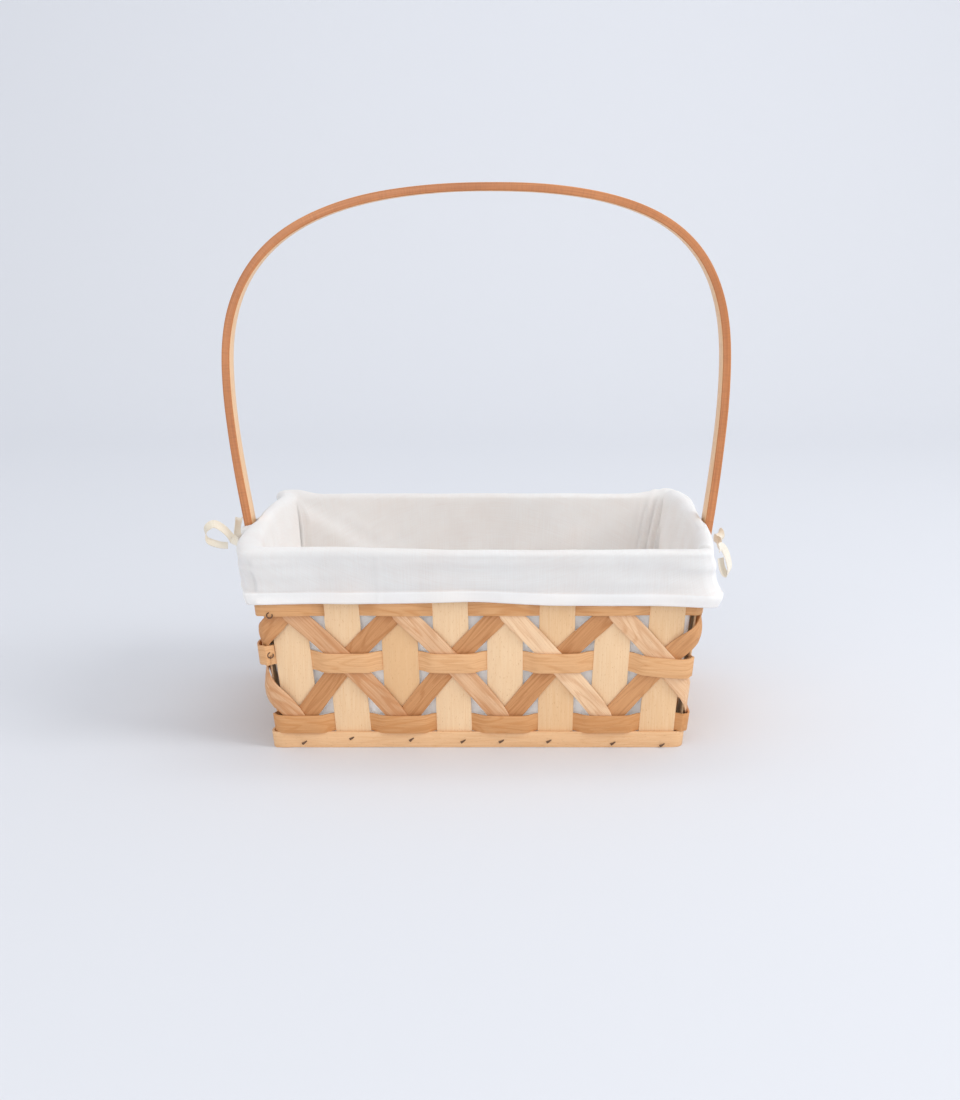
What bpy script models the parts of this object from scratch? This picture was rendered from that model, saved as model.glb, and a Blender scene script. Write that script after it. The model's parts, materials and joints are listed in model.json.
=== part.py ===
"""Flower girl basket: woven wood splints, a bentwood handle and a tied cotton liner.

Units are metres and +Z is up. The long walls face -Y (front) and +Y (back).
The origin is on the ground, under the middle of the basket.
"""

import math

import bmesh
import bpy
from mathutils import Matrix, Vector

# The reference wall. Every piece of the wall lies at its own offset outwards from it.
HALF_LENGTH = 0.1345
HALF_DEPTH = 0.09575
FLARE = 0.092
CORNER_RADIUS = 0.0025
RIM_TOP = 0.139
LONG_WALL_BOW = 0.003
END_WALL_BOW = 0.0076

# Splints. Offsets are from the reference wall to a splint's inner face.
STAKE_WIDTH = 0.024
SPLINT = 0.0012
DIAGONAL_WIDTH = 0.0137
DIAGONAL_SPLINT = 0.0009
HOOP_BEHIND = 0.0
STAKE_LAYER = 0.0015
DIAGONAL_LAYER = 0.0031
CROSSED_LAYER_RISE = 0.0012
FLAT_OVER_CROSSING = 0.0100
LEVEL_AFTER_CROSSING = 0.0136
DIAGONAL_END = 0.0045
DIAGONAL_LOWEST = 0.0124
DIAGONAL_HIGHEST = 0.1045
HOOP_IN_FRONT = 0.0057
CREST = 0.008
STAKE_TOP = 0.138

# Stakes on the front wall that lean from their even place, per metre of height.
FRONT_LEAN = (0.0, -0.006, 0.006, -0.015, -0.016, -0.036, -0.020, -0.032)

# Heights of the three hoops, and of the diagonals' crossings under them.
HOOPS = {
    "top_hoop": (0.0945, 0.1080, 0),
    "middle_hoop": (0.0560, 0.0696, 1),
    "bottom_hoop": (0.0119, 0.0269, 0),
}
TOP_CROSSING = 0.0990
MIDDLE_CROSSING = 0.0620
BOTTOM_CROSSING = 0.0187

# The floor, where the stakes cross: lower faces of the two levels.
FLOOR_LOW = 0.0010
FLOOR_HIGH = 0.0027

# Bands: lowest and highest point, inner and outer offset.
BASE_BAND = (0.0, 0.0115, 0.0030, 0.0050)
OUTER_RIM = (0.116, RIM_TOP, 0.0030, 0.0070)
INNER_RIM = (0.116, RIM_TOP, -0.0008, 0.0011)

# Handle: a bent strip, given by its outer outline.
HANDLE_WIDTH = 0.020
HANDLE_THICKNESS = 0.0061
HANDLE_PEAK = (0.0070, 0.3804)
LEFT_BULGE = (-0.1837, 0.2520)
RIGHT_BULGE = (0.1784, 0.2520)
LEFT_FOOT = (-0.1665, 0.1120)
RIGHT_FOOT = (0.1650, 0.1120)
FOOT_SLOPE = 0.145
NAIL_HEIGHTS = (0.122, 0.134)
NAIL_RADIUS = 0.0010
NAIL_HOLE_RADIUS = 0.0013
NAIL_HEAD_RADIUS = 0.0024
NAIL_HEAD = 0.0008

# Liner: a cotton bag, turned over the rim into a cuff. The two are separate solids.
CLOTH = 0.0008
LINER_OFFSET = -0.0016
LINER_FLOOR = 0.0049
LINER_TOP = 0.1374
CUFF_OFFSET = 0.0080
CUFF_HEM = 0.103
FOLD_TOP = 0.1421
LEG_OPENING = 0.0115
LEG_COVER = 0.0130
COVER_SLOPE = 0.0100
LEG_TUCK = 0.0016

# Sides in order round the basket: stakes, direction along the wall, direction outwards.
SIDES = (
    (8, Vector((1, 0, 0)), Vector((0, -1, 0))),
    (6, Vector((0, 1, 0)), Vector((1, 0, 0))),
    (8, Vector((-1, 0, 0)), Vector((0, 1, 0))),
    (6, Vector((0, -1, 0)), Vector((-1, 0, 0))),
)
FIRST_STAKE = (0, 8, 14, 22)
ROUND = 28

# A corner's bend takes this stretch of the place between a wall's last stake and the next
# wall's first, at every height.
BEND_START = 0.36
BEND_END = 0.64

COLOURS = {
    "stake": (0.86, 0.58, 0.32, 1.0),
    "hoop": (0.79, 0.45, 0.19, 1.0),
    "rising_splint": (0.58, 0.29, 0.13, 1.0),
    "falling_splint": (0.72, 0.44, 0.25, 1.0),
    "base_band": (0.82, 0.50, 0.24, 1.0),
    "rim_band": (0.80, 0.52, 0.28, 1.0),
    "handle": (0.53, 0.19, 0.06, 1.0),
    "liner": (0.84, 0.82, 0.77, 1.0),
    "tie": (0.82, 0.78, 0.68, 1.0),
    "nail": (0.10, 0.07, 0.05, 1.0),
}


# ---------------------------------------------------------------- objects and materials


def clear_scene():
    for thing in list(bpy.data.objects):
        bpy.data.objects.remove(thing, do_unlink=True)


def finish(thing, kind, roughness=0.6, metallic=0.0):
    """Give an object its own material, in the colour of its kind."""
    material = bpy.data.materials.new(thing.name)
    material.use_nodes = True
    shader = material.node_tree.nodes["Principled BSDF"]
    shader.inputs["Base Color"].default_value = COLOURS[kind]
    shader.inputs["Roughness"].default_value = roughness
    shader.inputs["Metallic"].default_value = metallic
    thing.data.materials.append(material)
    return thing


def add_object(name, mesh_data):
    thing = bpy.data.objects.new(name, mesh_data)
    bpy.context.scene.collection.objects.link(thing)
    return thing


def ribbon(name, sections, closed=False):
    """A solid strip through sections of four corners each, closed into a ring or capped."""
    mesh = bmesh.new()
    rows = [[mesh.verts.new(corner) for corner in section] for section in sections]
    count = len(rows) if closed else len(rows) - 1
    for index in range(count):
        here, there = rows[index], rows[(index + 1) % len(rows)]
        for k in range(4):
            m = (k + 1) % 4
            mesh.faces.new((here[k], here[m], there[m], there[k]))
    if not closed:
        mesh.faces.new(rows[0])
        mesh.faces.new(rows[-1])
    bmesh.ops.recalc_face_normals(mesh, faces=mesh.faces)
    data = bpy.data.meshes.new(name)
    mesh.to_mesh(data)
    mesh.free()
    return add_object(name, data)


# ---------------------------------------------------------------- the wall's geometry


def wall_halves(side, z):
    """Half the reference wall's length at height z, and its distance from the middle."""
    length = HALF_LENGTH + FLARE * z
    depth = HALF_DEPTH + FLARE * z
    return (length, depth) if side % 2 == 0 else (depth, length)


def stake_place(side, index, z):
    """Distance of a stake's centre from the middle of its wall."""
    count = SIDES[side][0]
    half, _ = wall_halves(side, z)
    pitch = (half - CORNER_RADIUS - STAKE_WIDTH / 2) / ((count - 1) / 2)
    lean = FRONT_LEAN[index] * z if side == 0 else 0.0
    return (index - (count - 1) / 2) * pitch + lean


def swell(side, along, z):
    """How far a wall bows outwards between its corners."""
    half, _ = wall_halves(side, z)
    bow = LONG_WALL_BOW if side % 2 == 0 else END_WALL_BOW
    return bow * z / RIM_TOP * max(0.0, 1 - (along / (half - CORNER_RADIUS)) ** 2)


def wall_point(side, along, z, offset):
    """A point on a wall, at a distance along it and an offset out from it."""
    _, direction, outwards = SIDES[side]
    reach = wall_halves(side, z)[1] + swell(side, along, z) + offset
    return direction * along + outwards * reach + Vector((0, 0, z))


def corner_runs(side, z):
    """Lengths of the three stretches from a wall's last stake to the next wall's first."""
    half, _ = wall_halves(side, z)
    following = (side + 1) % 4
    next_half, _ = wall_halves(following, z)
    before = half - CORNER_RADIUS - stake_place(side, SIDES[side][0] - 1, z)
    bend = (CORNER_RADIUS + DIAGONAL_LAYER) * math.pi / 2
    after = next_half - CORNER_RADIUS + stake_place(following, 0, z)
    return before, bend, after


def interval(place):
    """Side, index in that side and fraction for a place counted in stakes round the wall."""
    place = (place - 0.5) % ROUND
    stake = int(place)
    side = max(k for k in range(4) if FIRST_STAKE[k] <= stake)
    return side, stake - FIRST_STAKE[side], place - stake


def turns_corner(side, index):
    return index == SIDES[side][0] - 1


def stake_gap(place, z):
    """Distance between the two stakes on either side of a place round the wall."""
    side, index, _ = interval(place)
    if turns_corner(side, index):
        return sum(corner_runs(side, z))
    return stake_place(side, index + 1, z) - stake_place(side, index, z)


def run_from_stake(place, z):
    """Distance from the stake before a place."""
    side, index, fraction = interval(place)
    if not turns_corner(side, index):
        return fraction * stake_gap(place, z)
    before, bend, after = corner_runs(side, z)
    if fraction < BEND_START:
        return before * fraction / BEND_START
    if fraction < BEND_END:
        return before + bend * (fraction - BEND_START) / (BEND_END - BEND_START)
    return before + bend + after * (fraction - BEND_END) / (1 - BEND_END)


def place_after_stake(number, run, z):
    """The place at a distance after stake number, counted round the wall from 0."""
    start = number + 0.5
    side, index, _ = interval(start + 0.5)
    if not turns_corner(side, index):
        return start + run / stake_gap(start + 0.5, z)
    before, bend, after = corner_runs(side, z)
    if run < before:
        return start + BEND_START * run / before
    if run < before + bend:
        return start + BEND_START + (BEND_END - BEND_START) * (run - before) / bend
    return start + BEND_END + (1 - BEND_END) * (run - before - bend) / after


def around(place, z, offset):
    """A point of the wall, with place counted in stakes from the front left corner."""
    side, index, _ = interval(place)
    run = run_from_stake(place, z)
    if not turns_corner(side, index):
        return wall_point(side, stake_place(side, index, z) + run, z, offset)
    before, bend, after = corner_runs(side, z)
    half, distance = wall_halves(side, z)
    if run <= before:
        return wall_point(side, half - CORNER_RADIUS - before + run, z, offset)
    if run >= before + bend:
        following = (side + 1) % 4
        next_half, _ = wall_halves(following, z)
        return wall_point(following, run - before - bend - next_half + CORNER_RADIUS, z, offset)
    angle = (run - before) / bend * math.pi / 2
    _, direction, outwards = SIDES[side]
    centre = direction * (half - CORNER_RADIUS) + outwards * (distance - CORNER_RADIUS)
    arm = outwards * math.cos(angle) + direction * math.sin(angle)
    return centre + arm * (CORNER_RADIUS + offset) + Vector((0, 0, z))


# ---------------------------------------------------------------- stakes and floor


def floor_level(long_index, cross_index, is_long):
    over = (long_index + cross_index) % 2 == 0
    return FLOOR_HIGH if over == is_long else FLOOR_LOW


def stake(name, side, index, crossing_places, levels):
    """A splint that runs up one wall, under the bag and up the opposite wall."""
    opposite = (side + 2) % 4
    mirror_index = SIDES[side][0] - 1 - index
    across = SIDES[side][1]
    outwards = SIDES[side][2]
    floor_along = stake_place(side, index, 0.0)
    half_width = across * (STAKE_WIDTH / 2)

    def wall_section(z, wall, number, sign):
        along = stake_place(wall, number, z)
        edge = sign * STAKE_WIDTH / 2
        return (
            wall_point(wall, along - edge, z, STAKE_LAYER),
            wall_point(wall, along + edge, z, STAKE_LAYER),
            wall_point(wall, along + edge, z, STAKE_LAYER + SPLINT),
            wall_point(wall, along - edge, z, STAKE_LAYER + SPLINT),
        )

    def floor_section(inner, outer):
        middle = across * floor_along
        corners = []
        for shift, (reach, z) in ((-1, inner), (1, inner), (1, outer), (-1, outer)):
            corners.append(middle + half_width * shift + outwards * reach + Vector((0, 0, z)))
        return tuple(corners)

    def bend_sections(level, sign):
        bend = STAKE_LAYER + SPLINT
        centre_z = level + bend
        reach = wall_halves(side, centre_z)[1] + swell(side, floor_along, centre_z)
        sections = []
        for step in range(4):
            angle = math.radians(90 * step / 3)
            inner = (sign * (reach + STAKE_LAYER * math.cos(angle)), centre_z - STAKE_LAYER * math.sin(angle))
            outer = (sign * (reach + bend * math.cos(angle)), centre_z - bend * math.sin(angle))
            sections.append(floor_section(inner, outer))
        return sections

    clearance = STAKE_WIDTH / 2 + 0.0003
    sections = [wall_section(STAKE_TOP, side, index, 1), wall_section(0.07, side, index, 1)]
    sections += bend_sections(levels[0], 1)
    for place, level in zip(crossing_places, levels):
        for shift in (clearance, -clearance):
            reach = place + shift
            sections.append(floor_section((reach, level + SPLINT), (reach, level)))
    sections += reversed(bend_sections(levels[-1], -1))
    sections += [
        wall_section(0.07, opposite, mirror_index, -1),
        wall_section(STAKE_TOP, opposite, mirror_index, -1),
    ]
    return finish(ribbon(name, sections), "stake")


def make_stakes():
    # Long-wall stakes run from front to back, so their crossings are met from -Y to +Y.
    cross_places = [-stake_place(1, j, 0.0) for j in range(6)]
    long_places = [-stake_place(0, i, 0.0) for i in range(8)]
    for i in range(8):
        levels = [floor_level(i, j, True) for j in range(6)]
        stake(f"long_wall_stake_{i + 1}", 0, i, cross_places, levels)
    for j in range(6):
        levels = [floor_level(i, j, False) for i in reversed(range(8))]
        stake(f"end_wall_stake_{j + 1}", 1, j, long_places, levels)


# ---------------------------------------------------------------- hoops and diagonals


def hoop(name, low, high, parity):
    """A splint ring that passes in front of every second stake and behind the others."""
    sections = []
    middle = (low + high) / 2
    for number in range(ROUND):
        side, index, _ = interval(number + 1.0)
        gap = stake_gap(number + 1.0, middle)
        front_first = number % 2 == parity
        if turns_corner(side, index):
            before, bend, after = corner_runs(side, middle)
            tuck = bend + (before if front_first else after)
            sharpness = 5.0
            stations = [before, before + bend / 3, before + bend * 2 / 3, before + bend]
            crest = [0.009] if front_first else [gap - 0.009]
        else:
            tuck = gap - STAKE_WIDTH / 2 - 0.0006
            sharpness = 2.7
            stations = [tuck if front_first else gap - tuck]
            crest = [0.009, 0.013, 0.017]
            if not front_first:
                crest = [gap - run for run in crest]
        for run in sorted([0.0] + stations + crest):
            from_front = run if front_first else gap - run
            share = (from_front - CREST) / (tuck - CREST)
            lift = 1 - max(0.0, min(1.0, share)) ** sharpness
            offset = HOOP_BEHIND + (HOOP_IN_FRONT - HOOP_BEHIND) * lift
            place = place_after_stake(number, run, middle)
            sections.append(
                (
                    around(place, low, offset),
                    around(place, high, offset),
                    around(place, high, offset + SPLINT),
                    around(place, low, offset + SPLINT),
                )
            )
    return finish(ribbon(name, sections, closed=True), "hoop")


def interval_stations(number, z):
    """Distances after stake number at which a slanted splint changes level or bends."""
    side, index, _ = interval(number + 1.0)
    gap = stake_gap(number + 1.0, z)
    stations = [0.0, FLAT_OVER_CROSSING, LEVEL_AFTER_CROSSING]
    stations += [gap - LEVEL_AFTER_CROSSING, gap - FLAT_OVER_CROSSING]
    if turns_corner(side, index):
        before, bend, _ = corner_runs(side, z)
        stations += [before + bend * step / 3 for step in range(4)]
    return sorted(stations), gap


def diagonal(name, first, falls):
    """A slanted splint from under the top hoop to under the bottom hoop, two stakes on.

    It is cut upright where it ends, and each of its sections is upright, so that it
    wraps a corner without being pulled out of shape."""
    curve = (TOP_CROSSING + BOTTOM_CROSSING) / 2 - MIDDLE_CROSSING
    slope = (BOTTOM_CROSSING - TOP_CROSSING) / 2
    direction = 1 if falls else -1
    places = []
    for step, z in ((0, 0.08 if falls else 0.04), (1, 0.04 if falls else 0.08)):
        stations, gap = interval_stations(first + step, z)
        for run in stations:
            crossing = min(run, gap - run)
            share = (LEVEL_AFTER_CROSSING - crossing) / (LEVEL_AFTER_CROSSING - FLAT_OVER_CROSSING)
            rise = max(0.0, min(1.0, share)) if falls else 0.0
            places.append((place_after_stake(first + step, run, z), rise))
    end = DIAGONAL_END / stake_gap(first + 0.5, TOP_CROSSING)
    top_rise = 1.0 if falls else 0.0
    places = [(first + 0.5 - end, top_rise)] + places + [(first + 2.5 + end, top_rise)]
    sections = []
    last = None
    for place, rise in places:
        if last is not None and place - last < 0.01:
            continue
        last = place
        run = direction * (place - first - 1.5)
        middle = MIDDLE_CROSSING + slope * run + curve * run * run
        steepness = (slope + 2 * curve * run) / stake_gap(place, middle)
        reach = DIAGONAL_WIDTH / 2 * math.hypot(1.0, steepness)
        low = max(middle - reach, DIAGONAL_LOWEST)
        high = min(middle + reach, DIAGONAL_HIGHEST)
        offset = DIAGONAL_LAYER + CROSSED_LAYER_RISE * rise
        sections.append(
            (
                around(place, low, offset),
                around(place, high, offset),
                around(place, high, offset + DIAGONAL_SPLINT),
                around(place, low, offset + DIAGONAL_SPLINT),
            )
        )
    kind = "falling_splint" if falls else "rising_splint"
    return finish(ribbon(name, sections), kind)


def make_diagonals():
    for number in range(ROUND // 2):
        diagonal(f"falling_splint_{number + 1:02d}", 2 * number, True)
        diagonal(f"rising_splint_{number + 1:02d}", 2 * number, False)


# ---------------------------------------------------------------- bands


def ring_places(bend_steps=4):
    """Places round the wall: a few at every stake, and a few in the bend of each corner."""
    places = []
    for number in range(ROUND):
        side, index, _ = interval(number + 1.0)
        half_stake = STAKE_WIDTH / 2 / stake_gap(FIRST_STAKE[side] + 1.0, RIM_TOP)
        if side % 2:
            places += [number + 0.5 - half_stake, number + 0.5 + half_stake]
        else:
            places.append(number + 0.5)
        if turns_corner(side, index):
            for step in range(bend_steps + 1):
                share = BEND_START + (BEND_END - BEND_START) * step / bend_steps
                places.append(number + 0.5 + share)
    return sorted(places)


def band(name, kind, size):
    low, high, inner, outer = size
    sections = [
        (
            around(place, low, inner),
            around(place, high, inner),
            around(place, high, outer),
            around(place, low, outer),
        )
        for place in ring_places()
    ]
    return finish(ribbon(name, sections, closed=True), kind)


# ---------------------------------------------------------------- handle and its nails


def bezier(points, steps):
    a, b, c, d = (Vector(point) for point in points)
    line = []
    for step in range(steps):
        t = step / steps
        s = 1 - t
        line.append(a * s**3 + b * 3 * s * s * t + c * 3 * s * t * t + d * t**3)
    return line


def handle_outline():
    """Outer outline in X and Z, from the left foot over the top to the right foot."""
    outline = []
    outline += bezier(
        (
            LEFT_FOOT,
            (LEFT_FOOT[0] - 0.040 * FOOT_SLOPE, LEFT_FOOT[1] + 0.040),
            (LEFT_BULGE[0], LEFT_BULGE[1] - 0.045),
            LEFT_BULGE,
        ),
        6,
    )
    outline += bezier(
        (
            LEFT_BULGE,
            (LEFT_BULGE[0], LEFT_BULGE[1] + 0.0905),
            (HANDLE_PEAK[0] - 0.1245, HANDLE_PEAK[1]),
            HANDLE_PEAK,
        ),
        16,
    )
    outline += bezier(
        (
            HANDLE_PEAK,
            (HANDLE_PEAK[0] + 0.1275, HANDLE_PEAK[1]),
            (RIGHT_BULGE[0], RIGHT_BULGE[1] + 0.0905),
            RIGHT_BULGE,
        ),
        16,
    )
    outline += bezier(
        (
            RIGHT_BULGE,
            (RIGHT_BULGE[0], RIGHT_BULGE[1] - 0.045),
            (RIGHT_FOOT[0] + 0.040 * FOOT_SLOPE, RIGHT_FOOT[1] + 0.040),
            RIGHT_FOOT,
        ),
        6,
    )
    outline.append(Vector(RIGHT_FOOT))
    return outline


def make_handle(outline):
    sections = []
    for index, point in enumerate(outline):
        before = outline[max(index - 1, 0)]
        after = outline[min(index + 1, len(outline) - 1)]
        tangent = (after - before).normalized()
        inner = point + Vector((tangent.y, -tangent.x)) * HANDLE_THICKNESS
        sections.append(
            tuple(
                Vector((x, y, z))
                for (x, z), y in (
                    (point, -HANDLE_WIDTH / 2),
                    (point, HANDLE_WIDTH / 2),
                    (inner, HANDLE_WIDTH / 2),
                    (inner, -HANDLE_WIDTH / 2),
                )
            )
        )
    return finish(ribbon("handle", sections), "handle", roughness=0.45)


def leg_face(outline, side, height):
    """Where a leg's outer face is at a height, and which way it leans."""
    half = [point for point in outline if point.x * side > 0 and point.y < 0.2]
    half.sort(key=lambda point: point.y)
    for low, high in zip(half, half[1:]):
        if low.y <= height <= high.y:
            share = (height - low.y) / (high.y - low.y)
            lean = (high - low).normalized()
            return low.lerp(high, share), Vector((lean.y * side, -lean.x * side))


def turned_pin(name, rings, place, axis, sides=8):
    """A round solid through rings of radius and distance along an axis."""
    mesh = bmesh.new()
    turn = Vector((0, 0, 1)).rotation_difference(axis).to_matrix().to_4x4()
    matrix = Matrix.Translation(place) @ turn
    rows = []
    for radius, distance in rings:
        row = []
        for step in range(sides):
            angle = 2 * math.pi * step / sides
            point = Vector((radius * math.cos(angle), radius * math.sin(angle), distance))
            row.append(mesh.verts.new(matrix @ point))
        rows.append(row)
    for here, there in zip(rows, rows[1:]):
        for k in range(sides):
            m = (k + 1) % sides
            mesh.faces.new((here[k], here[m], there[m], there[k]))
    mesh.faces.new(rows[0])
    mesh.faces.new(rows[-1])
    bmesh.ops.recalc_face_normals(mesh, faces=mesh.faces)
    data = bpy.data.meshes.new(name)
    mesh.to_mesh(data)
    mesh.free()
    return add_object(name, data)


def make_handle_nails(outline, drilled):
    """Nails through each leg and both rim bands, with clearance holes cut for them."""
    for side, word in ((-1, "left"), (1, "right")):
        for number, height in enumerate(NAIL_HEIGHTS):
            point, normal = leg_face(outline, side, height)
            place = Vector((point.x, 0, point.y))
            axis = Vector((normal.x, 0, normal.y))
            reach = (place.x * side - wall_halves(1, height)[1]) / (axis.x * side)
            reach -= END_WALL_BOW * height / RIM_TOP - INNER_RIM[2]
            seat = 0.0003
            name = f"{word}_handle_nail_{number + 1}"
            rings = (
                (NAIL_RADIUS, -reach),
                (NAIL_RADIUS, seat),
                (NAIL_HEAD_RADIUS, seat),
                (NAIL_HEAD_RADIUS, seat + NAIL_HEAD),
            )
            finish(turned_pin(name, rings, place, axis), "nail", 0.5, 0.8)
            hole = ((NAIL_HOLE_RADIUS, -reach - 0.004), (NAIL_HOLE_RADIUS, 0.004))
            cutter = turned_pin(f"{name}_hole", hole, place, axis)
            cutter.hide_render = True
            cutter.display_type = "WIRE"
            for piece in drilled:
                cut = piece.modifiers.new(f"{name}_hole", "BOOLEAN")
                cut.operation = "DIFFERENCE"
                cut.object = cutter


# ---------------------------------------------------------------- liner and ties


def cuff_offset(point, outline_reach):
    """How far out the cuff lies: it swells to pass round the handle's leg."""
    if abs(point.x) < HALF_LENGTH:
        return CUFF_OFFSET
    share = (LEG_COVER + COVER_SLOPE - abs(point.y)) / COVER_SLOPE
    share = max(0.0, min(1.0, share))
    return CUFF_OFFSET + (outline_reach - CUFF_OFFSET) * share


def liner_places():
    """Places round the wall for the liner's columns, closer together beside each leg."""
    middles = [FIRST_STAKE[side] + 3 for side in (1, 3)]
    places = [place for place in ring_places(3) if min(abs(place - m) for m in middles) > 0.8]
    for side in (1, 3):
        middle = FIRST_STAKE[side] + 3
        pitch = stake_gap(middle, RIM_TOP)
        places.append(middle)
        for along in (LEG_COVER + COVER_SLOPE, LEG_COVER, LEG_OPENING):
            places += [middle - along / pitch, middle + along / pitch]
    return sorted(places)


def is_behind_leg(point):
    return abs(point.y) < LEG_COVER - 0.0005 and abs(point.x) > HALF_LENGTH


def cloth(name, columns, leg_row=None, has_floor=False):
    """Cotton through columns of points all round, open at one row where each leg stands."""
    mesh = bmesh.new()
    columns = [[mesh.verts.new(point) for point in column] for column in columns]
    for index, here in enumerate(columns):
        there = columns[(index + 1) % len(columns)]
        for row in range(len(here) - 1):
            corners = (here[row], there[row], there[row + 1], here[row + 1])
            if row == leg_row and all(is_behind_leg(vertex.co) for vertex in corners):
                continue
            mesh.faces.new(corners)
    if has_floor:
        mesh.faces.new([column[0] for column in columns])
    bmesh.ops.recalc_face_normals(mesh, faces=mesh.faces)
    data = bpy.data.meshes.new(name)
    mesh.to_mesh(data)
    mesh.free()
    piece = finish(add_object(name, data), "liner", roughness=0.9)
    thickness = piece.modifiers.new("cloth", "SOLIDIFY")
    thickness.thickness = CLOTH
    thickness.offset = 0.0
    thickness.use_even_offset = True
    return piece


def make_liner():
    """The bag, up to just under the fold."""
    inside = ((0.0090, LINER_OFFSET), (0.070, LINER_OFFSET), (LINER_TOP, LINER_OFFSET))
    columns = []
    for place in liner_places():
        column = [around(place, LINER_FLOOR, -0.0045)]
        column += [around(place, z, offset) for z, offset in inside]
        columns.append(column)
    return cloth("liner", columns, has_floor=True)


def make_liner_cuff(outline):
    """The bag's edge, folded over the rim, with an opening where each leg stands."""
    fold = (
        (LINER_TOP + 0.0006, LINER_OFFSET),
        (0.1404, -0.0015),
        (0.1419, 0.0010),
        (FOLD_TOP, 0.0050),
        (0.1408, 0.0077),
    )
    columns = []
    for place in liner_places():
        column = [around(place, z, offset) for z, offset in fold]
        if is_behind_leg(column[-1]):
            column[-1] = around(place, fold[-1][0], fold[-1][1] - LEG_TUCK)
        for z in (0.1375, 0.1250, CUFF_HEM):
            flat = around(place, z, CUFF_OFFSET)
            side = -1 if flat.x < 0 else 1
            face, _ = leg_face(outline, side, max(z, LEFT_FOOT[1] + 0.001))
            wall = wall_halves(1, z)[1] + END_WALL_BOW * z / RIM_TOP
            reach = abs(face.x) + NAIL_HEAD + CLOTH + 0.0006 - wall
            column.append(around(place, z, cuff_offset(flat, reach)))
        columns.append(column)
    return cloth("liner_cuff", columns, leg_row=len(fold) - 1)


# Routes of the tie tapes, from the cuff's edge through the knot, in metres.
TIES = {
    "left_front_tie": (
        (-0.1752, -0.0135, 0.1262),
        (-0.1768, -0.0085, 0.1262),
        (-0.1800, -0.0060, 0.1275),
        (-0.1860, -0.0070, 0.1345),
        (-0.1930, -0.0080, 0.1385),
        (-0.1985, -0.0090, 0.1345),
        (-0.1975, -0.0085, 0.1270),
        (-0.1900, -0.0075, 0.1235),
        (-0.1835, -0.0060, 0.1225),
    ),
    "left_back_tie": (
        (-0.1752, 0.0135, 0.1255),
        (-0.1768, 0.0070, 0.1255),
        (-0.1772, 0.0020, 0.1268),
        (-0.1778, 0.0035, 0.1320),
        (-0.1774, 0.0070, 0.1380),
        (-0.1770, 0.0100, 0.1400),
    ),
    "right_front_tie": (
        (0.1730, -0.0135, 0.1215),
        (0.1746, -0.0085, 0.1218),
        (0.1775, -0.0060, 0.1205),
        (0.1805, -0.0070, 0.1140),
        (0.1820, -0.0080, 0.1060),
        (0.1795, -0.0085, 0.1010),
        (0.1765, -0.0070, 0.1055),
        (0.1752, -0.0060, 0.1130),
    ),
    "right_back_tie": (
        (0.1730, 0.0135, 0.1245),
        (0.1746, 0.0070, 0.1240),
        (0.1752, 0.0020, 0.1225),
        (0.1765, 0.0040, 0.1270),
        (0.1762, 0.0085, 0.1300),
        (0.1755, 0.0120, 0.1260),
    ),
}


def smooth_route(points, steps=4):
    """Points on a smooth curve through a route's own points."""
    points = [Vector(point) for point in points]
    padded = [points[0] * 2 - points[1]] + points + [points[-1] * 2 - points[-2]]
    line = []
    for a, b, c, d in zip(padded, padded[1:], padded[2:], padded[3:]):
        for step in range(steps):
            t = step / steps
            line.append(
                0.5 * (2 * b + (c - a) * t + (2 * a - 5 * b + 4 * c - d) * t * t
                       + (3 * b - a - 3 * c + d) * t**3)
            )
    line.append(points[-1])
    return line


def make_ties():
    for name, route in TIES.items():
        line = smooth_route(route, 3)
        data = bpy.data.curves.new(name, "CURVE")
        data.dimensions = "3D"
        data.bevel_depth = 0.0010
        data.bevel_resolution = 1
        data.use_fill_caps = True
        spline = data.splines.new("POLY")
        spline.points.add(len(line) - 1)
        for point, place in zip(spline.points, line):
            point.co = (*place, 1.0)
        finish(add_object(name, data), "tie", roughness=0.9)


# ---------------------------------------------------------------- the whole basket

clear_scene()
make_stakes()
make_diagonals()
for hoop_name, (hoop_low, hoop_high, hoop_parity) in HOOPS.items():
    hoop(hoop_name, hoop_low, hoop_high, hoop_parity)
band("base_band", "base_band", BASE_BAND)
outer_rim = band("outer_rim_band", "rim_band", OUTER_RIM)
inner_rim = band("inner_rim_band", "rim_band", INNER_RIM)
handle_line = handle_outline()
handle = make_handle(handle_line)
make_handle_nails(handle_line, (handle, outer_rim, inner_rim))
make_liner()
make_liner_cuff(handle_line)
make_ties()
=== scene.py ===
"""Flower girl basket: woven wood splints, a bentwood handle and a tied cotton liner.

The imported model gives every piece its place. Lengths are in metres and +Z is up."""
import json
import math

import bpy
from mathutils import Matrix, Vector, noise

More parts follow.
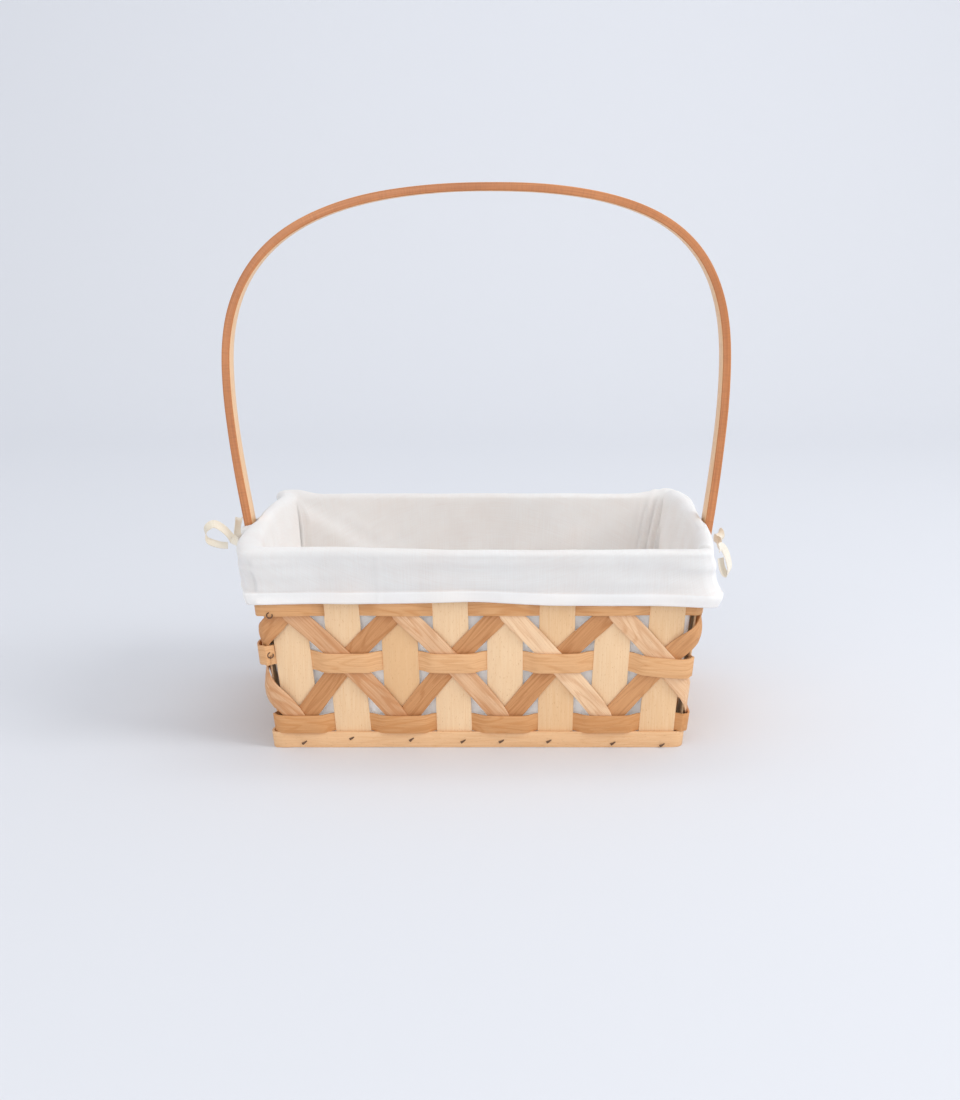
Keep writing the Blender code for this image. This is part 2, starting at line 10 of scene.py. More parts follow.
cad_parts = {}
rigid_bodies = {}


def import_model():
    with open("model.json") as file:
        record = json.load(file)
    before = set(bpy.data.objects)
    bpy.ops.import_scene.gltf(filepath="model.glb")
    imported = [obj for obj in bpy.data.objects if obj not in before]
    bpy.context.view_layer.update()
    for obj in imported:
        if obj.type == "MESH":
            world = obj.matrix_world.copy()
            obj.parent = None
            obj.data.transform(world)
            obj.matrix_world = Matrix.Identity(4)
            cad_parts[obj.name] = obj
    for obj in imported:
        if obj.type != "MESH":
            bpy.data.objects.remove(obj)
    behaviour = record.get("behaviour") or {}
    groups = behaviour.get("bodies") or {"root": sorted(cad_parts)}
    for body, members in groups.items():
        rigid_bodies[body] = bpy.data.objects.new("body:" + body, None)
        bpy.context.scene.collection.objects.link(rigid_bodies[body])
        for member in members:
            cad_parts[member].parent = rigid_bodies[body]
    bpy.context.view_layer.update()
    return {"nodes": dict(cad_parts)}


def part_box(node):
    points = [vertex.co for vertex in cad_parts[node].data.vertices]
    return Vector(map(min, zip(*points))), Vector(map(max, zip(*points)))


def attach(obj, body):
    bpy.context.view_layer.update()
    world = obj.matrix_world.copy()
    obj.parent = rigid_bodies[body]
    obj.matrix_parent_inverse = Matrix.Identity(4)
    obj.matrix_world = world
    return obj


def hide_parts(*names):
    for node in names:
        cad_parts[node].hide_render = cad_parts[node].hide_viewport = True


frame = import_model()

bpy.ops.object.select_all(action="DESELECT")

# ---------------------------------------------------------------- camera, light and paper
# A seamless sweep of pale paper in a bright room. A large soft window lights it from the right,
# a weaker reflector fills in from the front, and a third lamp lights the paper behind.
CAMERA_PLACE = (0.0, -1.159, 0.351)
CAMERA_PITCH = math.radians(11.38)
LENS_MM = 52.85
PAPER = "#E0E2E7"
ROOM_LIGHT = "#F3F5F9"
ROOM_STRENGTH = 0.82
BASKET_MIDDLE = (0.0, 0.0, 0.12)
PAPER_BEHIND = (0.2, 2.6, 1.0)
LAMPS = (
    ("window", (1.9, -0.8, 1.5), BASKET_MIDDLE, 1.2, 24.0),
    ("reflector", (-0.5, -2.1, 0.8), BASKET_MIDDLE, 1.5, 11.0),
    ("background", (0.4, 0.9, 2.7), PAPER_BEHIND, 1.8, 14.0),
)
SWEEP_START = -3.0
SWEEP_FLAT = 1.5
SWEEP_RADIUS = 1.1
SWEEP_HALF_WIDTH = 4.0
SWEEP_HEIGHT = 4.0
SWEEP_STEPS = 16


def linear(hex_colour):
    """An sRGB hex colour as linear RGBA."""
    channels = []
    for start in (1, 3, 5):
        value = int(hex_colour[start:start + 2], 16) / 255
        channels.append(value / 12.92 if value <= 0.04045 else ((value + 0.055) / 1.055) ** 2.4)
    return (*channels, 1.0)


def add_node(tree, kind, settings=None, values=None, links=None):
    """One shader node with its settings, its input values and the sockets linked into it."""
    node = tree.nodes.new("ShaderNode" + kind)
    for name, value in (settings or {}).items():
        setattr(node, name, value)
    for name, value in (values or {}).items():
        node.inputs[name].default_value = value
    for name, socket in (links or {}).items():
        tree.links.new(socket, node.inputs[name])
    return node


def new_material(name):
    """A material with only its output, and that output's surface socket."""
    material = bpy.data.materials.new(name)
    material.use_nodes = True
    tree = material.node_tree
    tree.nodes.clear()
    output = tree.nodes.new("ShaderNodeOutputMaterial")
    return material, tree, output.inputs["Surface"]


def mesh_object(name, points, faces, material):
    """A new object from points and faces, at the origin."""
    data = bpy.data.meshes.new(name)
    data.from_pydata([tuple(point) for point in points], [], faces)
    data.validate()
    piece = bpy.data.objects.new(name, data)
    bpy.context.scene.collection.objects.link(piece)
    data.materials.append(material)
    for face in data.polygons:
        face.use_smooth = True
    return piece


def make_active(piece):
    bpy.ops.object.select_all(action="DESELECT")
    piece.select_set(True)
    bpy.context.view_layer.objects.active = piece


bpy.ops.object.camera_add(
    location=CAMERA_PLACE, rotation=(math.pi / 2 - CAMERA_PITCH, 0.0, 0.0)
)
camera = bpy.context.object
camera.data.sensor_width = 36.0
camera.data.lens = LENS_MM
bpy.context.scene.camera = camera

paper, tree, surface = new_material("matt_paper_sweep")
mottle = add_node(tree, "TexNoise", values={"Scale": 1.4, "Detail": 1.0})
shade = add_node(
    tree,
    "MapRange",
    values={"To Min": 0.97, "To Max": 1.0},
    links={"Value": mottle.outputs["Fac"]},
)
tint = add_node(
    tree,
    "Mix",
    {"data_type": "RGBA", "blend_type": "MULTIPLY"},
    {0: 1.0, 6: linear(PAPER)},
    {7: shade.outputs["Result"]},
)
shader = add_node(
    tree, "BsdfPrincipled", values={"Roughness": 0.95}, links={"Base Color": tint.outputs[2]}
)
tree.links.new(shader.outputs[0], surface)

profile = [(SWEEP_START, 0.0), (SWEEP_FLAT, 0.0)]
for step in range(1, SWEEP_STEPS + 1):
    angle = math.pi / 2 * step / SWEEP_STEPS
    profile.append(
        (SWEEP_FLAT + SWEEP_RADIUS * math.sin(angle), SWEEP_RADIUS * (1 - math.cos(angle)))
    )
profile.append((SWEEP_FLAT + SWEEP_RADIUS, SWEEP_HEIGHT))
points = [(side * SWEEP_HALF_WIDTH, y, z) for y, z in profile for side in (-1, 1)]
faces = [(k, k + 1, k + 3, k + 2) for k in range(0, len(points) - 2, 2)]
sweep = mesh_object("paper_sweep", points, faces, paper)

world = bpy.data.worlds.new("studio")
bpy.context.scene.world = world
bpy.context.scene.view_settings.view_transform = "Standard"
world.use_nodes = True
room = world.node_tree.nodes["Background"]
room.inputs["Color"].default_value = linear(ROOM_LIGHT)
room.inputs["Strength"].default_value = ROOM_STRENGTH

for name, place, aim, size, watts in LAMPS:
    bpy.ops.object.light_add(type="AREA", location=place)
    lamp = bpy.context.object
    lamp.name = name
    lamp.data.size = size
    lamp.data.energy = watts
    lamp.rotation_euler = (Vector(aim) - Vector(place)).to_track_quat("-Z", "Y").to_euler()

# ---------------------------------------------------------------- the ties
# Narrow cotton tape, sewn to both edges of the slit in the cuff at each handle leg and tied
# over the leg: one half makes the bow's loop, the other ends as a short tail.
TAPE_WIDTH = 0.0064
TAPE_THICKNESS = 0.0005
TAPE_CURL = 0.0005
TAPE_WHITE = "#F5F1E8"
TAPE_SHADE = "#E2D7C2"
TAPE_THREAD_MM = 0.8
TAIL_WIDTH = 0.9 * TAPE_WIDTH
KNOT_WIDTH = 0.72 * TAPE_WIDTH
KNOT_RADIUS = 0.0021
KNOT_TURNS = 1.6
KNOT_STEPS = 14
KNOT_SPREAD = 0.0009
CLOTH_SCATTER = 0.003
ROUTE_STEPS = 6
LEFT_LOOP = (
    (-0.1752, -0.0135, 0.1262),
    (-0.1768, -0.0085, 0.1262),
    (-0.1800, -0.0060, 0.1275),
    (-0.1860, -0.0070, 0.1345),
    (-0.1930, -0.0080, 0.1385),
    (-0.1985, -0.0090, 0.1345),
    (-0.1975, -0.0085, 0.1270),
    (-0.1900, -0.0075, 0.1235),
    (-0.1835, -0.0060, 0.1225),
)
LEFT_TAIL = (
    (-0.1752, 0.0135, 0.1255),
    (-0.1768, 0.0070, 0.1255),
    (-0.1772, 0.0020, 0.1268),
    (-0.1778, 0.0035, 0.1320),
    (-0.1774, 0.0070, 0.1380),
    (-0.1770, 0.0100, 0.1400),
)
RIGHT_LOOP = (
    (0.1730, -0.0135, 0.1215),
    (0.1746, -0.0085, 0.1218),
    (0.1775, -0.0060, 0.1205),
    (0.1805, -0.0070, 0.1140),
    (0.1820, -0.0080, 0.1060),
    (0.1795, -0.0085, 0.1010),
    (0.1765, -0.0070, 0.1055),
    (0.1752, -0.0060, 0.1130),
)
RIGHT_TAIL = (
    (0.1730, 0.0135, 0.1245),
    (0.1746, 0.0070, 0.1240),
    (0.1752, 0.0020, 0.1225),
    (0.1765, 0.0040, 0.1270),
    (0.1762, 0.0085, 0.1300),
    (0.1755, 0.0120, 0.1260),
)
LEFT_KNOT = ((-0.1790, -0.0050, 0.1258), (-0.75, -0.1, 0.45))
RIGHT_KNOT = ((0.1765, -0.0045, 0.1205), (0.5, -0.1, -0.7))


def woven_cotton(name, pale, dark, thread_mm, slub, strength, translucent=0.0):
    """Matt plain-weave cotton: rows of threads both ways, slubs, and soft uneven tone."""
    material, tree, surface = new_material(name)
    place = add_node(tree, "UVMap", {"uv_map": "cloth"})
    threads = []
    for across in (0, 1):
        stretch = [40.0, 40.0, 1.0]
        stretch[across] = 1000.0 / thread_mm
        scaled = add_node(
            tree, "Mapping", values={"Scale": stretch}, links={"Vector": place.outputs[0]}
        )
        threads.append(
            add_node(
                tree,
                "TexNoise",
                {"noise_dimensions": "2D"},
                {"Scale": 1.0, "Detail": 2.0, "Roughness": 0.6},
                {"Vector": scaled.outputs[0]},
            )
        )
    weave = add_node(
        tree,
        "Math",
        {"operation": "ADD"},
        links={0: threads[0].outputs["Fac"], 1: threads[1].outputs["Fac"]},
    )
    soft = add_node(
        tree,
        "TexNoise",
        values={"Scale": 22.0, "Detail": 3.0},
        links={"Vector": add_node(tree, "TexCoord").outputs["Object"]},
    )
    mixed = add_node(
        tree,
        "Math",
        {"operation": "MULTIPLY_ADD"},
        {1: slub},
        {0: weave.outputs[0], 2: soft.outputs["Fac"]},
    )
    tone = add_node(
        tree,
        "MapRange",
        values={"From Min": 0.25 + slub * 0.8, "From Max": 0.75 + slub * 1.2},
        links={"Value": mixed.outputs[0]},
    )
    colour = add_node(
        tree,
        "Mix",
        {"data_type": "RGBA"},
        {6: linear(dark), 7: linear(pale)},
        {0: tone.outputs["Result"]},
    )
    bump = add_node(
        tree,
        "Bump",
        values={"Strength": strength, "Distance": 0.0002},
        links={"Height": weave.outputs[0]},
    )
    shader = add_node(
        tree,
        "BsdfPrincipled",
        values={
            "Roughness": 0.92,
            "Sheen Weight": 0.15,
            "Sheen Roughness": 0.5,
            "Subsurface Weight": translucent,
            "Subsurface Radius": (1.0, 1.0, 1.0),
            "Subsurface Scale": CLOTH_SCATTER,
        },
        links={"Base Color": colour.outputs[2], "Normal": bump.outputs[0]},
    )
    tree.links.new(shader.outputs[0], surface)
    return material


def smooth_route(route, steps):
    """Points on a smooth curve through a route's own points."""
    route = [Vector(point) for point in route]
    padded = [route[0] * 2 - route[1]] + route + [route[-1] * 2 - route[-2]]
    line = []
    for a, b, c, d in zip(padded, padded[1:], padded[2:], padded[3:]):
        for step in range(steps):
            t = step / steps
            line.append(
                0.5 * (2 * b + (c - a) * t + (2 * a - 5 * b + 4 * c - d) * t * t
                       + (3 * b - a - 3 * c + d) * t**3)
            )
    line.append(route[-1])
    return line


def tube_faces(size, count):
    """The faces of a tube made of a number of rings of points, closed at both ends."""
    faces = []
    for index in range(count - 1):
        for k in range(size):
            m = (k + 1) % size
            a, b = index * size, (index + 1) * size
            faces.append((a + k, a + m, b + m, b + k))
    faces.append(tuple(reversed(range(size))))
    faces.append(tuple(range((count - 1) * size, count * size)))
    return faces


def turn_faces_out(piece):
    """Makes a piece active and turns all its faces outwards."""
    make_active(piece)
    bpy.ops.object.mode_set(mode="EDIT")
    bpy.ops.mesh.select_all(action="SELECT")
    bpy.ops.mesh.normals_make_consistent(inside=False)
    bpy.ops.object.mode_set(mode="OBJECT")


def lay_map(piece, name, places):
    """A UV map with one place for each of the piece's points."""
    layer = piece.data.uv_layers.new(name=name)
    for loop in piece.data.loops:
        layer.data[loop.index].uv = places[loop.vertex_index]


def tape(name, line, width, first_across, last_across, material):
    """A flat tape along a line. Its width turns from one direction to another on the way."""
    ring = [(share / 4 - 0.5, 1) for share in range(5)]
    ring += [(0.5 - share / 4, -1) for share in range(5)]
    points, uv = [], []
    run = 0.0
    for index, middle in enumerate(line):
        before, after = line[max(index - 1, 0)], line[min(index + 1, len(line) - 1)]
        tangent = (after - before).normalized()
        across = Vector(first_across).lerp(Vector(last_across), index / (len(line) - 1))
        across = (across - tangent * across.dot(tangent)).normalized()
        up = across.cross(tangent)
        if index:
            run += (middle - line[index - 1]).length
        for share, face in ring:
            lift = TAPE_CURL * (4 * share * share - 0.5) + face * TAPE_THICKNESS / 2
            points.append(middle + across * (share * width) + up * lift)
            uv.append((run, share * width))
    piece = mesh_object(name, points, tube_faces(len(ring), len(line)), material)
    turn_faces_out(piece)
    lay_map(piece, "cloth", uv)
    bpy.ops.object.shade_smooth_by_angle(angle=math.radians(50))
    return piece


def knot_line(middle, axis, radius, turns):
    """A tape's path round a knot, a little uneven, as tied by hand."""
    axis = Vector(axis).normalized()
    first = axis.orthogonal().normalized()
    second = axis.cross(first)
    line = []
    for step in range(int(turns * KNOT_STEPS) + 1):
        angle = 2 * math.pi * step / KNOT_STEPS
        reach = radius * (1 + 0.16 * math.sin(2.3 * angle + 1))
        along = axis * (KNOT_SPREAD * (angle / (2 * math.pi) - turns / 2))
        around = first * (reach * math.cos(angle)) + second * (reach * math.sin(angle))
        line.append(Vector(middle) + around + along)
    return line


tape_cotton = woven_cotton(
    "bleached_cotton_tape", TAPE_WHITE, TAPE_SHADE, TAPE_THREAD_MM, 0.35, 0.5
)
for word, loop_route, tail_route, (knot_place, knot_axis), loop_across in (
    ("left", LEFT_LOOP, LEFT_TAIL, LEFT_KNOT, (-0.3, 0.8, 0.6)),
    ("right", RIGHT_LOOP, RIGHT_TAIL, RIGHT_KNOT, (0.8, 0.8, 0.2)),
):
    loop_line = smooth_route(loop_route, ROUTE_STEPS)
    loop = tape(
        f"{word}_bow_loop", loop_line, TAPE_WIDTH, (0, 0.5, 1.0), loop_across, tape_cotton
    )
    tail = tape(
        f"{word}_bow_tail",
        smooth_route(tail_route, ROUTE_STEPS),
        TAIL_WIDTH,
        (0, 0.2, 1.0),
        (0.4, 0.9, 0.5),
        tape_cotton,
    )
    knot = tape(
        f"{word}_bow_knot",
        knot_line(knot_place, knot_axis, KNOT_RADIUS, KNOT_TURNS),
        KNOT_WIDTH,
        knot_axis,
        knot_axis,
        tape_cotton,
    )
    for piece in (loop, tail, knot):
        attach(piece, "root")
    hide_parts(f"{word}_front_tie")
    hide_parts(f"{word}_back_tie")

# ---------------------------------------------------------------- the stakes
# Broad splints of sliced poplar. Each runs up one wall, under the bag and up the opposite
# wall, and they cross in a plain weave under the bag. The slicing leaves fine straight grain.
STAKE_PALE = "#F4D4AC"
STAKE_DARK = "#E5B988"
STAKE_FLECK = "#C9935F"
LONG_STAKE_TONES = (0.35, 0.25, 1.0, -0.1, 0.0, 0.8, 0.0, 0.45)
SPLINT_EDGE_MM = 0.25
UNEVEN_MM = 0.25
UNEVEN_REACH_MM = 35.0
UNEVEN_SEED = 7
LOOP_HALF_LENGTH = 0.143
LOOP_HALF_DEPTH = 0.104


def sliced_wood(name, pale, dark, fleck, streak_mm, figure_mm, figure, flecks, roughness=0.55):
    """Sliced wood with its grain along U: streaks, broad growth figure, flecks and tone."""
    material, tree, surface = new_material(name)
    place = add_node(tree, "UVMap", {"uv_map": "grain"})

    def stretched_noise(along_mm, across_mm, detail, distortion=0.0):
        scaled = add_node(
            tree,
            "Mapping",
            values={"Scale": (1000 / along_mm, 1000 / across_mm, 1.0)},
            links={"Vector": place.outputs[0]},
        )
        values = {"Scale": 1.0, "Detail": detail, "Roughness": 0.6, "Distortion": distortion}
        return add_node(
            tree, "TexNoise", {"noise_dimensions": "2D"}, values, {"Vector": scaled.outputs[0]}
        ).outputs["Fac"]

    def ranged(value, low, high, to_low=0.0, to_high=1.0):
        values = {"From Min": low, "From Max": high, "To Min": to_low, "To Max": to_high}
        return add_node(tree, "MapRange", values=values, links={"Value": value}).outputs[0]

    def maths(operation, first, second):
        node = add_node(tree, "Math", {"operation": operation}, links={0: first})
        if isinstance(second, float):
            node.inputs[1].default_value = second
        else:
            tree.links.new(second, node.inputs[1])
        return node.outputs[0]

    def blend(factor, first, second):
        node = add_node(tree, "Mix", {"data_type": "RGBA"}, links={0: factor})
        for socket, value in ((node.inputs[6], first), (node.inputs[7], second)):
            if isinstance(value, str):
                socket.default_value = linear(value)
            else:
                tree.links.new(value, socket)
        return node.outputs[2]

    streaks = stretched_noise(streak_mm * 40, streak_mm, 3.0)
    contours = stretched_noise(figure_mm * 14, figure_mm * 2.2, 1.5, 0.3)
    rings = maths("SINE", maths("MULTIPLY", contours, 44.0), 0.0)
    rings = ranged(rings, 0.1, 1.0)
    tone = stretched_noise(260.0, 130.0, 1.0)
    dashes = stretched_noise(3.5, 0.55, 1.0)
    grain = maths("ADD", ranged(streaks, 0.3, 0.75, 0.0, 0.55), maths("MULTIPLY", rings, figure))
    grain = maths("ADD", grain, ranged(tone, 0.3, 0.7, -0.15, 0.25))
    own = add_node(tree, "Attribute", {"attribute_name": "tone"})
    grain = maths("ADD", grain, own.outputs["Fac"])
    colour = blend(ranged(grain, -0.1, 1.35), pale, dark)
    spots = maths("MULTIPLY", ranged(dashes, 0.70, 0.78), flecks)
    colour = blend(spots, colour, fleck)
    height = maths("SUBTRACT", streaks, maths("MULTIPLY", rings, 0.25))
    bump = add_node(
        tree, "Bump", values={"Strength": 0.35, "Distance": 0.0003}, links={"Height": height}
    )
    gloss = ranged(streaks, 0.3, 0.7, roughness - 0.06, roughness + 0.08)
    shader = add_node(
        tree,
        "BsdfPrincipled",
        values={"IOR": 1.5, "Specular IOR Level": 0.4},
        links={"Base Color": colour, "Roughness": gloss, "Normal": bump.outputs[0]},
    )
    tree.links.new(shader.outputs[0], surface)
    return material


def wall_run(point):
    """Distance round the basket, from the middle of the front to the right."""
    if abs(point.y) / LOOP_HALF_DEPTH >= abs(point.x) / LOOP_HALF_LENGTH:
        if point.y < 0:
            return point.x
        return 2 * LOOP_HALF_DEPTH + 2 * LOOP_HALF_LENGTH - point.x
    if point.x > 0:
        return LOOP_HALF_LENGTH + LOOP_HALF_DEPTH + point.y
    return -LOOP_HALF_LENGTH - LOOP_HALF_DEPTH - point.y


def finished_splint(node, name, material, levels, edge_mm=SPLINT_EDGE_MM, uneven_mm=UNEVEN_MM):
    """A CAD splint with its curve smoothed, its arrises eased and its faces a little uneven."""
    piece = bpy.data.objects.new(name, frame["nodes"][node].data.copy())
    bpy.context.scene.collection.objects.link(piece)
    piece.data.materials.clear()
    piece.data.materials.append(material)
    make_active(piece)
    bpy.ops.object.mode_set(mode="EDIT")
    bpy.ops.mesh.select_all(action="SELECT")
    bpy.ops.mesh.remove_doubles(threshold=0.00002)
    bpy.ops.mesh.tris_convert_to_quads(
        face_threshold=math.radians(60), shape_threshold=math.radians(100)
    )
    bpy.ops.mesh.normals_make_consistent(inside=False)
    bpy.ops.mesh.select_all(action="DESELECT")
    bpy.ops.mesh.select_mode(type="EDGE")
    bpy.ops.mesh.edges_select_sharp(sharpness=math.radians(50))
    if levels:
        bpy.ops.transform.edge_crease(value=1.0)
    bpy.ops.object.mode_set(mode="OBJECT")
    if levels:
        curve = piece.modifiers.new("curve", "SUBSURF")
        curve.levels = levels
        curve.render_levels = levels
        bpy.ops.object.modifier_apply(modifier="curve")
    for vertex in piece.data.vertices:
        wave = noise.noise_vector(vertex.co * (1000 / UNEVEN_REACH_MM) + Vector((0, 0, len(name))))
        vertex.co += wave * (uneven_mm / 1000)
    arris = piece.modifiers.new("arris", "BEVEL")
    arris.width = edge_mm / 1000
    arris.segments = 2
    arris.limit_method = "ANGLE"
    arris.angle_limit = math.radians(50)
    bpy.ops.object.modifier_apply(modifier="arris")
    bpy.ops.object.shade_smooth_by_angle(angle=math.radians(35))
    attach(piece, "root")
    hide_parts(node)
    return piece


def lay_grain(piece, along, across, shift, tone=0.0):
    """Gives a piece its grain map, U along the wood and V across it in metres, and its tone."""
    depth = piece.data.attributes.new("tone", "FLOAT", "POINT")
    for value in depth.data:
        value.value = tone
    places = [(along(v.co) + shift, across(v.co) + shift * 0.31) for v in piece.data.vertices]
    lay_map(piece, "grain", places)


noise.seed_set(UNEVEN_SEED)
stake_wood = sliced_wood(
    "sliced_poplar_stake", STAKE_PALE, STAKE_DARK, STAKE_FLECK, 0.9, 9.0, 0.10, 0.55
)
for word, count in (("long", 8), ("end", 6)):
    for number in range(1, count + 1):
        stake = finished_splint(
            f"{word}_wall_stake_{number}", f"{word}_stake_{number}", stake_wood, 1
        )
        if word == "long":
            tone = LONG_STAKE_TONES[number - 1]
            lay_grain(stake, lambda p: abs(p.y) + p.z, lambda p: p.x, number * 0.731, tone)
        else:
            lay_grain(stake, lambda p: abs(p.x) + p.z, lambda p: p.y, number * 0.517 + 9.0)

# ---------------------------------------------------------------- the slanted splints
# Narrow poplar splints that slant across the stakes between the top hoop and the bottom one,
# held where they cross under the hoops. The rising ones are darker heartwood.
RISING = ("#DEA672", "#BA7E4C", "#8A5228")
FALLING = ("#F4D0A8", "#CB9060", "#9C6238")
RISING_TONES = (0.4, 0.35, 0.45, 0.1)
FALLING_TONES = (0.75, 0.4, -0.3, 0.15)
# Where splints stand out round a corner: place along the wall, lower and upper end, and reach.
CORNER_BULGES = (
    (-0.146, 0.064, 0.100, 0.0035),
    (-0.146, 0.018, 0.062, 0.0042),
    (0.146, 0.062, 0.104, 0.0040),
)
CORNER_BULGE_WIDTH = 0.026
BODY_HALVES = (0.128, 0.090)


def eased(value):
    """A smooth step from 0 to 1, held at both ends."""
    value = max(0.0, min(1.0, value))
    return value * value * (3 - 2 * value)


def outwards_at(point):
    """The level direction away from the nearest point of the basket's body."""
    nearest = Vector(
        [max(-half, min(half, value)) for half, value in zip(BODY_HALVES, point.xy)]
    )
    return Vector((*(point.xy - nearest).normalized(), 0.0))


def lay_slanted_grain(piece, falls, shift, tone):
    """Lays the grain map along a splint that slants over the wall."""
    runs = [wall_run(v.co) for v in piece.data.vertices]
    heights = [v.co.z for v in piece.data.vertices]
    slope = Vector((max(runs) - min(runs), max(heights) - min(heights)))
    if falls:
        slope.y = -slope.y
    slope.normalize()
    lay_grain(
        piece,
        lambda p: wall_run(p) * slope.x + p.z * slope.y,
        lambda p: p.z * slope.x - wall_run(p) * slope.y,
        shift,
        tone,
    )


rising_wood = sliced_wood("sliced_heartwood_splint", *RISING, 1.0, 7.0, 0.45, 0.3)
falling_wood = sliced_wood("sliced_poplar_splint", *FALLING, 1.0, 7.0, 0.40, 0.3)
for word, material in (("rising", rising_wood), ("falling", falling_wood)):
    for number in range(1, 15):
        splint = finished_splint(
            f"{word}_splint_{number:02d}", f"{word}_slant_{number:02d}", material, 2
        )
        tone = (FALLING_TONES if word == "falling" else RISING_TONES)[(number - 1) % 4]
        lay_slanted_grain(splint, word == "falling", number * 0.613 + len(word), tone)
        for vertex in splint.data.vertices:
            for run, low, high, reach in CORNER_BULGES:
                near = eased(1 - abs(wall_run(vertex.co) - run) / CORNER_BULGE_WIDTH)
                lift = eased(2 * min(vertex.co.z - low, high - vertex.co.z) / (high - low))
                vertex.co += outwards_at(vertex.co) * (reach * near * lift)

# ---------------------------------------------------------------- the hoops
# Three long splints woven round the basket, in front of every second stake and behind the
# next, over the crossings of the slanted splints. Sliced along the grain, so long lines show.
HOOP = ("#EDBD8B", "#CC9059", "#97602F")
HOOP_TONES = {"bottom": 0.9, "middle": 0.1, "top": 0.5}
HOOP_SAG = {"bottom": 0.0008, "middle": 0.0012, "top": -0.0010}
BOTTOM_HOOP_TRIM = 0.0024
# Where the middle hoop leaves its level: place along the wall, half width, and rise.
HOOP_SHIFTS = (
    (-0.150, 0.045, 0.0048),
    (0.140, 0.055, -0.0042),
)
HOOP_FRONT_OFFSET = 0.0057
LAP_GAP = 0.0013
LAP_BULGE = 0.0022
LAP_RUNS = {"middle": (-0.185, -0.1378), "top": (-0.185, -0.106)}
LAP_CORNER = -0.143
LAP_BULGE_WIDTH = 0.024
HALF_LENGTH = 0.1345
HALF_DEPTH = 0.09575
FLARE = 0.092
RIM_TOP = 0.139
BOWS = (0.003, 0.0076)


def wall_distance(point):
    """How far a point stands out from the reference wall that the CAD's pieces share."""
    across_end = abs(point.x) - HALF_LENGTH - FLARE * point.z
    across_front = abs(point.y) - HALF_DEPTH - FLARE * point.z
    shares = (point.x / 0.14, point.y / 0.1)
    bows = [bow * point.z / RIM_TOP * max(0.0, 1 - k * k) for bow, k in zip(BOWS, shares)]
    return max(across_front - bows[0], across_end - bows[1])


def lap(piece, name, first_run, last_run, gap, bulge):
    """The doubled end of a hoop or band: the same strip once more, outside the first."""
    copy = bpy.data.objects.new(name, piece.data.copy())
    bpy.context.scene.collection.objects.link(copy)
    make_active(copy)
    bpy.ops.object.mode_set(mode="EDIT")
    bpy.ops.mesh.select_mode(type="FACE")
    bpy.ops.mesh.select_all(action="DESELECT")
    bpy.ops.object.mode_set(mode="OBJECT")
    for face in copy.data.polygons:
        face.select = not first_run < wall_run(face.center) < last_run
    bpy.ops.object.mode_set(mode="EDIT")
    bpy.ops.mesh.delete(type="FACE")
    bpy.ops.mesh.select_all(action="SELECT")
    bpy.ops.mesh.fill_holes(sides=0)
    bpy.ops.mesh.normals_make_consistent(inside=False)
    bpy.ops.object.mode_set(mode="OBJECT")
    for vertex in copy.data.vertices:
        swell = max(0.0, 1 - ((wall_run(vertex.co) - LAP_CORNER) / LAP_BULGE_WIDTH) ** 2)
        vertex.co += outwards_at(vertex.co) * (gap + bulge * swell)
    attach(copy, "root")
    return copy


hoop_wood = sliced_wood("sliced_poplar_hoop", *HOOP, 0.8, 6.0, 0.34, 0.2)
for number, word in enumerate(("bottom", "middle", "top")):
    hoop = finished_splint(f"{word}_hoop", f"{word}_woven_hoop", hoop_wood, 1)
    lay_grain(hoop, wall_run, lambda p: p.z, 2.7 * number + 0.4, HOOP_TONES[word])
    foot = min(vertex.co.z for vertex in hoop.data.vertices)
    height = max(vertex.co.z for vertex in hoop.data.vertices) - foot
    for vertex in hoop.data.vertices:
        if word == "bottom":
            vertex.co.z -= BOTTOM_HOOP_TRIM * (vertex.co.z - foot) / height
        share = max(0.0, min(1.0, wall_distance(vertex.co) / HOOP_FRONT_OFFSET))
        vertex.co.z -= HOOP_SAG[word] * share * share
        if word == "middle":
            for run, width, rise in HOOP_SHIFTS:
                vertex.co.z += rise * eased(1 - abs(wall_run(vertex.co) - run) / width)
    if word in LAP_RUNS:
        doubled = lap(hoop, f"{word}_hoop_lap", *LAP_RUNS[word], LAP_GAP, LAP_BULGE)

# ---------------------------------------------------------------- base and rim bands
# Stouter sawn strips, bent round the corners. One is nailed round the foot of the stakes and
# lapped at the back, and two clamp the stakes' tops between them under the cloth.
BASE = ("#EFC496", "#D29C68", "#9F6534")
RIM = ("#E9C299", "#CF9F72", "#A0714A")
BASE_LAP = (0.555, 0.612)
BASE_LAP_GAP = 0.0021
BASE_CORNER = -0.146
BASE_CORNER_BULGE = 0.0034
BASE_CORNER_WIDTH = 0.020

base_wood = sliced_wood("sawn_poplar_band", *BASE, 0.8, 5.0, 0.18, 0.3)
base_band = finished_splint("base_band", "foot_band", base_wood, 1, 0.5, 0.2)
lay_grain(base_band, wall_run, lambda p: p.z, 1.3)
for vertex in base_band.data.vertices:
    near = eased(1 - abs(wall_run(vertex.co) - BASE_CORNER) / BASE_CORNER_WIDTH)
    vertex.co += outwards_at(vertex.co) * (BASE_CORNER_BULGE * near)
base_lap = lap(base_band, "foot_band_lap", *BASE_LAP, BASE_LAP_GAP, 0.0)
rim_wood = sliced_wood("sawn_poplar_rim", *RIM, 0.8, 5.0, 0.3, 0.4)
for number, word in enumerate(("outer", "inner")):
    rim = finished_splint(f"{word}_rim_band", f"{word}_rim_strip", rim_wood, 0, 0.25, 0.0)
    lay_grain(rim, wall_run, lambda p: p.z, 3.3 + number)

